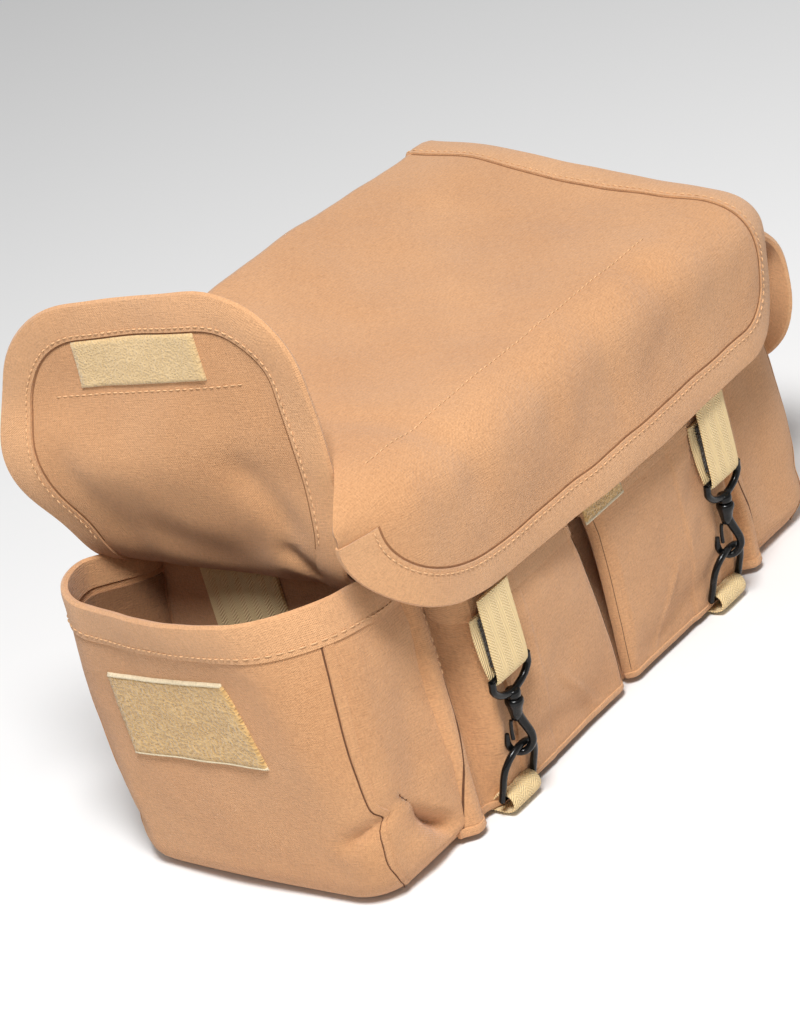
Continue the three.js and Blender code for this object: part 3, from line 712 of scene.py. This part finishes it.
def end_flap(side, place, facing, inner, hinge, fold_line):
    """One end flap: cover and tongue pieces of one surface, hem, stitches and hook strip."""
    sheet = Sheet(place, CANVAS, facing)
    name = f"end_flap_{side}"
    cover, tongue = f"end_cover_{side}", f"end_tongue_{side}"
    lower, upper = ("bag", cover, *hinge), (cover, tongue, *fold_line)
    rows, half = end_border()
    cut = int(np.searchsorted(rows, COVER_ROWS))
    low = sheet.fill(f"{name}_lower", "canvas", rows[: cut + 1], -half[: cut + 1], half[: cut + 1])
    dress(low, "canvas", lower, f"{name}_cover")
    high = sheet.fill(f"{name}_upper", "canvas", rows[cut:], -half[cut:], half[cut:])
    dress(high, "canvas", upper, f"{name}_tongue")

    free_edge = row(half[-1], -half[-1], END_LENGTH, 20)[1:-1]
    sides = np.stack([half, rows], 1), np.stack([-half, rows], 1)[::-1]
    whole = resample(np.vstack([sides[0], free_edge, sides[1]]), 3.0)
    overlap = 1.6
    rim = whole[whole[:, 1] >= rows[cut] - overlap]
    start = whole[whole[:, 1] < rows[cut] + overlap]
    hem = sheet.strip(f"{name}_hem", "canvas_trim", rim, narrowed(0.88))
    dress(hem, "canvas_trim", upper, f"{name}_binding")
    sewn = sheet.stitches(f"{name}_hem_stitches", offset(rim, 15.2), FACE + 1.05)
    dress(sewn, "canvas_trim", upper)
    # a painted shade line along the hem's inner edge
    hem_shade_strip = sheet.strip(f"{name}_hem_edge", "crease", offset(rim, 18.3), HEM_SHADE_OUTLINE)
    dress(hem_shade_strip, "canvas_trim", upper)
    for sign, label in ((1, "a"), (-1, "b")):
        part = start[np.sign(start[:, 0]) == sign]
        strip = sheet.strip(f"{name}_hem_{label}", "canvas_trim", part, narrowed(0.88))
        dress(strip, "canvas_trim", lower)

    low_corner, high_corner = (-36.5, END_LENGTH - 43), (38.5, END_LENGTH - 18.5)
    tape = sheet.patch(f"{name}_hook_tape", "hook_tape", low_corner, high_corner, inner * FACE, inner * 1.5)
    dress(tape, "hook_tape", upper, f"{name}_hook_strip")
    line = sheet.stitches(f"{name}_cross_stitches", row(-56, 56, END_LENGTH - 47, 40), FACE + 0.05)
    dress(line, "canvas", upper)
    return high


LEFT_HINGE, LEFT_FOLD = ((-0.143, 0, 0.158), (-0.152, 0, 0.172)), ((-0.160, 0, 0.224), (-0.161, 0, 0.262))
RIGHT_HINGE, RIGHT_FOLD = ((0.143, 0, 0.16), (0.160, 0, 0.165)), ((0.200, 0, 0.172), (0.212, 0, 0.152))
left_high = end_flap("left", open_flap_place, -1, 1, LEFT_HINGE, LEFT_FOLD)
right_high = end_flap("right", shut_flap_place, 1, -1, RIGHT_HINGE, RIGHT_FOLD)


# ---- pockets ----

POCKET_FOOT = 4.5  # height of the pockets' lower edge


def oblong(name, look, sheet, low, high, count, rows):
    """A part of a sheet as one slab, from low to high across and over the rows."""
    return sheet.fill(name, look, rows, np.full(len(rows), low), np.full(len(rows), high), count)


END_SIDE, END_ROUND, END_FACE = 34.0, 44.0, 104.0  # girth of a side, of a corner and of the face
END_REACH = END_SIDE + END_ROUND + END_FACE / 2 + 6.5  # into the end wall
END_TOP = 164.0


def end_pocket_section(a, half, depth, corner):
    """A rounded outline: side, corner, face, corner, side; a is 0 at the middle of the face."""
    mirrored = np.abs(a)
    face, turn = END_FACE / 2, END_ROUND
    angle = clamp((mirrored - face) / turn) * math.pi / 2
    side = np.clip((mirrored - face - turn) / END_SIDE, 0, 1.2)
    on_face, on_turn = mirrored <= face, mirrored <= face + turn
    across = np.where(on_face, mirrored / face * (half - corner), half - corner + corner * np.sin(angle))
    rounded = np.where(on_turn, depth - corner + corner * np.cos(angle), (depth - corner) * (1 - side))
    return np.sign(a) * across, np.where(on_face, depth, rounded)


def end_pocket_place(side):
    outward = SIDES[side]
    mouth, seed = (9, 41) if side == "left" else (2, 42)

    def place(a, b):
        z = np.clip(b, 0, None)
        t = z / END_TOP
        under = clamp(-b / 60)
        round_off = 5 * (1 - clamp(z / 12)) ** 2
        half = 81 + 5 * np.sin(np.pi * clamp(t * 0.9 + 0.05)) + 1.5 * (1 - t)
        half = (half - round_off) * (1 - under)
        depth = (58 + mouth * t**1.6 - round_off) * (1 - under)
        turn = np.maximum((20 + 20 * t**1.5) * (1 - under), 0.01)
        across, out = end_pocket_section(a, half, depth, turn)
        belly = (7 * t**2 + 2) * (1 - clamp(np.abs(across) / 80) ** 2) * (1 - under)
        face = ramp(out, 10, 40)
        ripple = waves(a, z, seed, (40, 130), 1.2) + waves(a, z, 43, (15, 45), 0.25)
        ripple = ripple + folds(a, z, ((56, 34), (90, 48), 5, 6.5), ((90, 48), (124, 14), 5, 8.0),
                                ((70, 22), (110, 18), 8, -2.5), ((-60, 16), (-100, 40), 8, 2.5),
                                ((84, 60), (92, 120), 9, 1.8), ((-70, 40), (-50, 120), 14, 1.8))
        ripple = ripple * (1 - under) * (1 - bump(b, 2, 4))
        tall = 158 + 6 * ramp(out, 0, 60) - POCKET_FOOT
        z_out = POCKET_FOOT + tall * t - 1.2 * (b < 0) * (1 - under)
        x = outward * (141.2 + out + (belly + ripple) * face)
        y = outward * across * (1 + ripple * 0.012 * (1 - face))
        y = y + outward * np.sign(across) * ripple * (1 - face) * 0.8
        back_lean = np.where(y > 0, 11 + 15 * (z_out / 240) ** 1.2, 0)
        y = y - back_lean * (1 - ramp(out, 0, 34)) * clamp(y / 60)
        return stack(x, y, z_out)

    return place


def end_pocket(side):
    name = f"end_pocket_{side}"
    sheet = Sheet(end_pocket_place(side), CANVAS)
    inside = Sheet(lambda a, b: sheet.at(a, b, -FACE - 0.5), 0.7)
    rows = np.concatenate([np.linspace(-57, -4, 10), np.linspace(0, 14, 7), np.linspace(17, END_TOP, 56)])
    wall = oblong(f"{name}_canvas", "canvas", sheet, -END_REACH, END_REACH, 126, rows)
    dress(wall, "canvas", "bag", name)
    rows, reach = np.concatenate([np.linspace(6, 14, 5), np.linspace(17, 144, 40)]), END_REACH - 7
    # a thin sheet just inside the pocket wall, in canvas painted darker as the shade inside the pocket
    inner_painted_shade = oblong(f"{name}_lining", "canvas_inside", inside, -reach, reach, 100, rows)
    dress(inner_painted_shade, "canvas", "bag")

    rim = row(END_REACH, -END_REACH, END_TOP, 126)
    profile = [
        (21, FACE - 0.3), (20.8, FACE + 0.9), (12, FACE + 1.2), (3, FACE + 1.1), (0.2, FACE + 0.6),
        (-0.9, 0), (0.2, -FACE - 0.6), (3, -FACE - 0.8), (16, -FACE - 0.8), (17, -FACE + 0.3),
    ]
    hem = sheet.strip(f"{name}_hem", "canvas_trim", rim, profile)
    dress(hem, "canvas_trim", "bag", f"{name}_rim")
    sewn = sheet.stitches(f"{name}_hem_stitches", offset(rim, 17.6), FACE + 1.1)
    dress(sewn, "canvas_trim", "bag")

    centre, turn = (-5.0, 0.065) if side == "left" else (0.0, 0.0)
    pivot = (centre, 101)
    low, high = (centre - 38.5, 76), (centre + 38.5, 126)
    thin = (FACE + 0.1, 1.75, (30, 2), turn, pivot)
    tape = sheet.patch(f"{name}_loop_tape", "loop_tape", low, high, FACE, 1.6, (30, 20), turn, pivot)
    dress(tape, "loop_tape", "bag", f"{name}_loop_patch")
    for label, b in (("low", low[1] + 0.6), ("high", high[1] - 0.6)):
        ends = (low[0], b - 1.1), (high[0], b + 1.1)
        line = sheet.patch(f"{name}_selvage_{label}", "selvage", *ends, *thin)
        dress(line, "loop_tape", "bag")

    felled = [(3, FACE - 0.3), (2.6, FACE + 0.45), (-1.2, FACE + 0.55), (-1.5, FACE - 0.3)]
    for label, sign, low_bend in (("front", 1, 40), ("back", -1, 36)):
        bends = ((84, 162), (80, 120), (76, 70), (78, low_bend), (88, 0))
        path = smooth([(sign * a, b) for a, b in bends], 14)
        # the seam as a dark painted shadow line, beside its raised fell
        seam = sheet.strip(f"{name}_seam_{label}", "seam", path, bead(0.42, 0.35, FACE, 0.12))
        dress(seam, "canvas", "bag")
        ridge = sheet.strip(f"{name}_felled_{label}", "canvas", offset(path, 2.0), felled)
        dress(ridge, "canvas", "bag")


for side in SIDES:
    end_pocket(side)

FRONT_OUTER, FRONT_SLIT = 131.0, 2.4  # from the bag's middle to the pocket's seam and to its slit side
FRONT_CENTRE, FRONT_HALF = (FRONT_OUTER + FRONT_SLIT) / 2, (FRONT_OUTER - FRONT_SLIT) / 2
FRONT_TOP = 122.0  # height of its cloth, before the outer side is drawn up


def front_pocket_place(side):
    outward = SIDES[side]
    seed = 51 if side == "left" else 52

    def place(a, b):
        """a runs along the face; towards the slit it goes round the edge and back to the body."""
        z = np.clip(b, 0, None)
        depth = 5 + 16 * clamp(z / 95) ** 0.8
        inward_side = (a * outward) < 0
        mirrored = np.abs(a)
        face = np.where(inward_side, FRONT_HALF - 6.0, FRONT_HALF - 38.0)
        over = np.clip(mirrored - face, 0, None)
        angle = clamp(over / 9.0) * math.pi / 2
        tail = np.clip((over - 9.0) / 20.0, 0, 1.2)
        pinch = 1.4 + 4.6 * ramp(z, 10, 108)
        across_in = np.where(over > 0, face - pinch + 6 * np.sin(angle), mirrored * (face - pinch) / face)
        across_in = across_in - 18 * ramp(tail, 0, 0.4)
        out_in = depth - 6 * (1 - np.cos(angle)) * (over > 0) - np.maximum(depth - 6, 0) * tail
        out_out = depth * (1 - ramp(mirrored, 38, 51)) + 8 * ramp(mirrored, 54, 62)
        out_out = out_out * (1 - 0.8 * ramp(mirrored, 65, 73)) + 0.6
        across = np.where(inward_side, across_in, mirrored)
        out = np.where(inward_side, out_in, out_out)
        belly = 3.0 * (1 - (a / FRONT_HALF) ** 2) * np.sin(np.pi * clamp(z / 118)) * (over == 0)
        ripple = waves(a, z, seed, (35, 100), 0.8) + waves(a, z, 53, (14, 40), 0.2)
        ripple = ripple + folds(a * outward, z, ((-50, 10), (36, 26), 7, 1.6), ((10, 40), (40, 96), 12, 1.6),
                                ((52, 10), (53, 62), 2.6, 6.0), ((8, 70), (30, 116), 8, 1.8),
                                ((40, 6), (42, 60), 5, -2.0), ((-40, 8), (-14, 44), 2.4, -1.2))
        ripple = ripple * np.where(inward_side & (over > 0), 0.3, 1) * ramp(out, 0, 8)
        near_slit = clamp(0.5 - a * outward / (2 * FRONT_HALF))
        x = outward * FRONT_CENTRE + np.sign(a) * across + (7.5 - 24 * z / 112) * near_slit
        y = -(WALL_Y + 0.4 + np.maximum(out + belly + ripple, 0.6))
        raised = 1 + 0.24 * ramp(a * outward, 44, 62)
        return stack(x, y, POCKET_FOOT + z * raised)

    return place


def front_pocket(side):
    name, outward = f"front_pocket_{side}", SIDES[side]
    low, high = sorted((-outward * (FRONT_HALF + 23), outward * (FRONT_HALF + 9)))
    sheet = Sheet(front_pocket_place(side), 2.0)
    front = oblong(f"{name}_canvas", "canvas", sheet, low, high, 120, np.linspace(0, FRONT_TOP, 54))
    dress(front, "canvas", "bag", name)
    profile = [(14, 0.7), (13.8, 1.9), (3, 2.0), (0.2, 1.5), (-0.8, 0), (0.2, -1.4), (10, -1.6), (10.5, -0.7)]
    hem = sheet.strip(f"{name}_top", "canvas_trim", row(high, low, FRONT_TOP, 90), profile)
    dress(hem, "canvas_trim", "bag", f"{name}_hem")
    profile = [(3.2, 0.7), (2.8, 1.6), (0.4, 1.9), (-1.2, 1.2), (-1.4, 0.4)]
    dress(sheet.strip(f"{name}_foot", "canvas_trim", row(low, high, 1.0, 90), profile), "canvas", "bag")
    down = resample([(outward * 60.5, 118), (outward * 61, 70)], 2)
    dress(sheet.stitches(f"{name}_side_stitches", down, 1.05, 3.6, 2.2, 0.3), "canvas", "bag")
    # a dark strip along the slit side of the pocket, painted as the shadow in the narrow gap
    slit_edge = row(6, 120, -outward * (FRONT_HALF + 1.5), 40)[:, ::-1]
    profile = [(3.2, 0.6), (3.0, 1.2), (-3.0, 1.2), (-3.2, 0.6)]
    dress(sheet.strip(f"{name}_slit_shadow_strip", "dark_edge", slit_edge, profile), "canvas", "bag")
    # the pocket's side seam as a dark painted shadow line
    seam = smooth([(outward * a, b) for a, b in ((57, 121), (58, 90), (61, 51), (67, 22), (71, 1))], 12)
    dress(sheet.strip(f"{name}_seam", "seam", seam, bead(0.45, 0.4, 1.0, 0.15)), "canvas", "bag")


for side in SIDES:
    front_pocket(side)


# ---- body ----

def rounded_box(t, half_x, half_y, corner):
    """Points on a rounded rectangle, t from 0 to 1, clockwise from the middle of the back."""
    turns = (corner * math.pi / 2, 2 * (half_y - corner), corner * math.pi / 2)
    lengths = [half_x - corner, *turns, 2 * (half_x - corner), *turns, half_x - corner]
    left = (t * sum(lengths))[:, None]
    start, ahead = np.array([0.0, half_y]), np.array([1.0, 0.0])
    points = np.zeros((len(t), 2))
    for i, length in enumerate(lengths):
        turned = np.array([ahead[1], -ahead[0]])
        if i % 2:
            bend = np.sin(left / corner) * ahead + (1 - np.cos(left / corner)) * turned
            points = np.where(left >= 0, start + corner * bend, points)
            start, ahead = start + corner * (ahead + turned), turned
        else:
            points = np.where(left >= 0, start + left * ahead, points)
            start = start + length * ahead
        left = left - length
    return points.T


def mouth_at(y):
    """The height of the body's open top, which falls to the front."""
    return 229.5 + 0.148 * (y - 68)


BODY_GIRTH = 860.0  # all round, for the cloth's grain
BODY_BASE, BODY_FLOOR = 0.6, 3.2  # heights of the base's underside and of the floor inside
BODY_WALL = 3.0  # its thickness


def body_wall():
    around = 240
    t = np.arange(around) / around
    flat_x, flat_y = rounded_box(t, WALL_X, WALL_Y, 6)
    share_x, share_y = flat_x / WALL_X, flat_y / WALL_Y
    side_on = np.abs(share_x) > np.abs(share_y)
    outward_x, outward_y = np.where(side_on, np.sign(flat_x), 0), np.where(side_on, 0, np.sign(flat_y))
    middle = clamp(np.where(side_on, 1 - share_y**2, 1 - share_x**2))
    behind_pockets = (flat_y < -70) | (np.abs(flat_x) > 137)
    levels = np.concatenate([np.linspace(0, 10, 6), np.linspace(14, 100, 60)])
    outer, inner = [], []
    for level in levels:
        z = BODY_BASE + (mouth_at(flat_y) - BODY_BASE) * level / 100
        lean = np.where(flat_y > 0, 13 * (z / 240) ** 1.3, 0) * clamp(share_y)
        rounded = 4 * (1 - clamp(z / 10)) ** 2
        belly = 3.2 * np.sin(np.pi * clamp(z / 225)) * middle
        ripple = waves(t * BODY_GIRTH, z, 61, (60, 215), 1.0) + waves(t * BODY_GIRTH, z, 62, (20, 60), 0.2)
        ripple = (ripple * 1.6 + belly) * clamp(z / 20)
        kept_flat = np.where(behind_pockets, 1 - ramp(z, 140, 215), 0)
        ripple = ripple * (1 - kept_flat) + np.minimum(ripple, 0.0) * 0.4 * kept_flat
        for rings, inset, height in ((outer, rounded, z), (inner, BODY_WALL, np.maximum(z, BODY_FLOOR))):
            x = flat_x * (1 - inset / WALL_X) + outward_x * ripple
            y = flat_y * (1 - inset / WALL_Y) + outward_y * ripple - lean
            rings.append(stack(x, y, height))
    shares = (0.02, 0.3, 0.6, 0.9)
    base = [stack(*(outer[0][:, :2] * k).T, BODY_BASE) for k in shares]
    floor = [stack(*(inner[0][:, :2] * k).T, BODY_FLOOR) for k in shares[::-1]]
    rim = [(outer[-1] + inner[-1]) / 2 + np.array([0, 0, 1.2])]
    rings = np.array(base + outer + rim + inner[::-1] + floor)
    up = levels * 2.3
    distance = np.concatenate([np.linspace(-80, 0, 4), up, [232], up[::-1] + 240, np.linspace(240, 160, 4)])
    uvs = grid(np.linspace(0, BODY_GIRTH, around + 1), distance)
    return lofted("body_canvas", "canvas", rings[:, ::-1], uvs)


dress(body_wall(), "canvas", "bag", "main_body_shell")


def board():
    """The stiff board on the floor, with soft edges."""
    high, around = cad_box("base_board")[1], 80
    x, y = rounded_box(np.arange(around) / around, high[0] - 0.3, high[1] - 0.3, 10)
    levels = ((0.02, 3.5), (0.99, 3.5), (1.0, 4.1), (1.0, 5.6), (0.99, 6.1), (0.02, 6.1))
    rings = np.array([stack(x * share, y * share, z) for share, z in levels])
    uvs = grid(np.linspace(0, 800, around + 1), (0, 130, 131, 133, 134, 260))
    return lofted("board_insert", "board", rings[:, ::-1], uvs)


dress(board(), "board", "bag", "base_board")


# ---- webbing, straps and small tapes ----

def ribbon(name, look, line, centre, width, thickness, steps=12, sway=0.0, drift=0.0):
    """Flat tape along a line in (y, z), spread in x."""
    line = smooth(line, 6)
    ahead = unit(np.gradient(line, axis=0))
    out = np.stack([-ahead[:, 1], ahead[:, 0]], 1)
    share = np.linspace(-1, 1, steps)
    half = thickness / 2 * np.where(np.abs(share) == 1, 0.45, 1)
    flat = np.concatenate([share, share[::-1], share[:1]]) * width / 2
    lengths = run_along(line)
    rings, uvs = [], []
    for (y, z), (out_y, out_z), run in zip(line, out, lengths):
        cup = sway * (1 - share**2) * math.sin(run / 9.0)
        middle = centre + drift * float(ramp(run / lengths[-1], 0.5, 0.8))
        x = middle + share * width / 2 * (1 - 0.012 * math.sin(run / 7.0))
        upper = stack(x, y + out_y * (half + cup), z + out_z * (half + cup))
        lower = stack(x, y - out_y * (half - cup), z - out_z * (half - cup))
        rings.append(np.concatenate([upper, lower[::-1]]))
        uvs.append(np.stack([flat, np.full(len(flat), run)], 1))
    return lofted(name, look, np.array(rings), np.array(uvs))


def metal(builder, name, body, node):
    """One piece of black hardware, which stands for a CAD node."""
    dress(builder.object(f"{name}_metal", "black_metal", 50), "black_metal", body, node)


def snap_hook(side, centre):
    """Swivel eye, hook and gate, in the same places as the CAD ones."""
    lean, turn = math.radians(8), math.radians(-45)
    origin = np.array([centre, -107.5, 82.0])
    down = np.array([0, math.sin(lean), -math.cos(lean)])
    sideways = np.array([1.0, 0, 0])
    long_side = sideways * math.cos(turn) - np.cross(down, sideways) * math.sin(turn)

    def spots(points, way):
        return [origin + way * x + down * depth for x, depth in points]

    eye = Builder()
    half_loop = [(-14.5, 0), (-14.5, 3), (-14.2, 6), (-10.5, 10.2), (-5, 12.8)]
    loop = half_loop + [(0, 13.6)] + [(-x, depth) for x, depth in half_loop[::-1]]
    tube(eye, smooth(spots(loop, sideways), 6), 1.95, 14)
    tube(eye, spots([(x, 0) for x in np.linspace(-15.2, 15.2, 12)], sideways), 1.4, 14)
    lathe(eye, origin + down * 12.3, down, [(0, 2.6), (0.6, 3.6), (2.2, 3.9), (4.2, 3.9), (4.8, 3.2)])
    metal(eye, f"hook_eye_{side}", f"hook_eye_{side}", f"snap_hook_{side}_eye")

    body = Builder()
    neck = [(0, 3.2), (0.5, 4.3), (1.6, 4.8), (3, 4.8), (5, 4.1), (9, 3.3), (12.6, 2.7), (13.2, 1.7)]
    lathe(body, origin + down * 17.3, down, neck)
    arm = [(0.3, 24), (1.4, 29), (3.4, 34), (5.4, 38.6), (6.2, 42), (6.0, 45), (4.4, 48), (1.6, 49.8),
           (-1.6, 49.6), (-4.6, 47.4), (-6.1, 43.6), (-5.9, 38)]
    curve = smooth(spots(arm, long_side), 6)
    radii = np.interp(np.linspace(0, 1, len(curve)), [0, 0.2, 0.5, 0.9, 1], [2.6, 2.3, 2.0, 1.8, 1.1])
    tube(body, curve, radii, 14)
    metal(body, f"hook_{side}", f"hook_{side}", f"snap_hook_{side}_body")

    gate = Builder()
    bar = spots([(-2.9, 30.6), (-3.3, 33), (-3.4, 37), (-3.2, 41.8)], long_side)
    tube(gate, smooth(bar, 5), 1.0, 12)
    metal(gate, f"gate_{side}", f"gate_{side}", f"snap_hook_{side}_gate")


def d_ring(side, centre):
    half, foot, tilt = 13.2, 14.7, math.radians(20)
    base = np.array([centre, -91.5, 10.7])
    rise = np.array([0, -math.sin(tilt), math.cos(tilt)])
    bow = [(half, 0), (half, 5), (half, 10)]
    bow += [(half * math.cos(k), foot + half * math.sin(k)) for k in np.linspace(0, math.pi, 9)]
    bow += [(-half, 10), (-half, 5), (-half, 0)]
    ring = Builder()
    tube(ring, smooth([base + np.array([x, 0, 0]) + rise * up for x, up in bow], 6), 1.85, 16)
    tube(ring, [base + np.array([x, 0, 0]) for x in np.linspace(-14, 14, 10)], 1.4, 14)
    metal(ring, f"d_ring_{side}", f"ring_{side}", f"d_ring_{side}")


def strap(side):
    """A closure strap with its tapes, its hook, and the ring and loop that it hooks to."""
    centre = -100.0 if side == "left" else 94.0
    node, body = f"closure_strap_{side}", f"strap_{side}"
    hanging = [(-110.2, 126), (-110.0, 118), (-110.2, 108), (-110.1, 96), (-110.15, 86), (-109.3, 80.8),
               (-107.3, 79.4), (-105.3, 81), (-104.9, 86), (-104.8, 98), (-104.4, 108), (-104.9, 116)]
    piece = ribbon(f"{body}_webbing", "webbing", hanging, centre, 25, 1.45, sway=0.12, drift=-3.0)
    dress(piece, "webbing", body, node)
    low, high = (centre - 12.5, FLAP_LENGTH - 38), (centre + 12.5, FLAP_LENGTH - 1)
    sewn = FLAP.patch(f"{body}_sewn", "webbing", low, high, -FACE - 2.9, 1.5, (10, 14))
    dress(sewn, "webbing", "main_flap", f"{node}_sewn_end")
    for label in ("hook", "loop"):
        low, high = cad_box(f"{node}_{label}_tape")
        line = [((low[1] + high[1]) / 2, z) for z in np.linspace(low[2] + 0.4, high[2] - 0.4, 7)]
        tape = ribbon(f"{body}_{label}_pile", "dark_tape", line, centre, 23, high[1] - low[1] - 0.1, 10)
        dress(tape, "dark_tape", body, f"{node}_{label}_tape")
    loop = [(-80.6, 3.2), (-86, 2.8), (-91, 2.75), (-95.2, 4.4), (-96.7, 8.2), (-95.2, 12), (-91.5, 13.4),
            (-87.5, 12.2), (-84.5, 9.5), (-81.5, 6.2)]
    held = ribbon(f"ring_loop_{side}_webbing", "webbing", loop, centre, 23, 1.5, sway=0.1)
    dress(held, "webbing", "bag", f"d_ring_{side}_loop")
    snap_hook(side, centre)
    d_ring(side, centre)


def wall_tape(side):
    """Webbing sewn flat on the end wall inside an end pocket."""
    outward, half = SIDES[side], 25.0
    low, high = cad_box(f"end_pocket_{side}_webbing")
    centre = (low[1] + high[1]) / 2
    share = np.linspace(-1, 1, 14)
    flat = np.concatenate([share, share[::-1], share[:1]]) * half
    rings, uvs = [], []
    for z in np.linspace(low[2], high[2], 20):
        bow = 0.4 * np.sin(z / 9.0) * (1 - share**2)
        upper = stack(outward * (142.3 + bow), centre + share * half, z)
        lower = stack(outward * 140.6, centre + share * half, z)
        rings.append(np.concatenate([upper, lower[::-1]])[::-outward])
        uvs.append(np.stack([flat[::-outward], np.full(len(flat), z)], 1))
    return lofted(f"wall_tape_{side}", "webbing", np.array(rings)[:, ::-1], np.array(uvs))


for side in SIDES:
    strap(side)
for side in SIDES:
    dress(wall_tape(side), "webbing", "bag", f"end_pocket_{side}_webbing")

low, high = cad_box("front_closure_patch")
front_y, bottom, top = low[1] - 0.9, low[2] + 4, high[2] + 4
closure = Sheet(lambda a, b: stack(a, front_y + 0.012 * a, b), 1.0)
patch = closure.patch("closure_patch_tape", "loop_tape", (-17, bottom), (17, top), -0.5, 1.1)
dress(patch, "loop_tape", "bag", "front_closure_patch")
for label, b in (("low", bottom + 1.2), ("high", top - 1.2)):
    ends = (-17, b - 1.2), (17, b + 1.2)
    line = closure.patch(f"closure_patch_selvage_{label}", "selvage", *ends, -0.4, 1.3, (12, 2))
    dress(line, "loop_tape", "bag")


# ---- stage, light and camera ----

floor_mesh = bpy.data.meshes.new("floor")
floor_mesh.from_pydata([(-6, -6, 0), (6, -6, 0), (6, 6, 0), (-6, 6, 0)], [], [(0, 1, 2, 3)])
floor = bpy.data.objects.new("floor", floor_mesh)
bpy.context.scene.collection.objects.link(floor)
floor_look = Finish("floor")
floor_look.set(Base_Color=(0.86, 0.86, 0.86, 1), Roughness=0.9, Specular_IOR_Level=0.1)
floor_mesh.materials.append(floor_look.material)

world = bpy.data.worlds.new("studio")
bpy.context.scene.world = world
world.use_nodes = True
background = world.node_tree.nodes["Background"].inputs
background["Color"].default_value = (1, 1, 1, 1)
background["Strength"].default_value = 0.345


def lamp(name, position, size, power):
    """A square light that looks at the bag's middle."""
    data = bpy.data.lights.new(name, "AREA")
    data.size, data.energy = size, power
    made = bpy.data.objects.new(name, data)
    made.location = position
    aim = Vector((0, 0, 0.12)) - Vector(position)
    made.rotation_euler = aim.to_track_quat("-Z", "Y").to_euler()
    bpy.context.scene.collection.objects.link(made)


lamp("key", (-0.88, -0.9, 2.05), 0.6, 62)

# the camera that was solved from the photo's edges
right = Vector((0.587344, -0.769654, -0.250318))
up = Vector((0.486339, 0.088417, 0.869285))
ahead = Vector((0.646916, 0.632309, -0.426244))
camera_at = Vector((-1.1232, -1.0661, 0.8373))
lens = bpy.data.cameras.new("camera")
lens.sensor_width = 36
lens.lens = 116.73
lens.clip_end = 30
camera = bpy.data.objects.new("camera", lens)
camera.matrix_world = Matrix.Translation(camera_at) @ Matrix((right, up, -ahead)).transposed().to_4x4()
bpy.context.scene.collection.objects.link(camera)
bpy.context.scene.camera = camera
bpy.context.scene.view_settings.view_transform = "Standard"
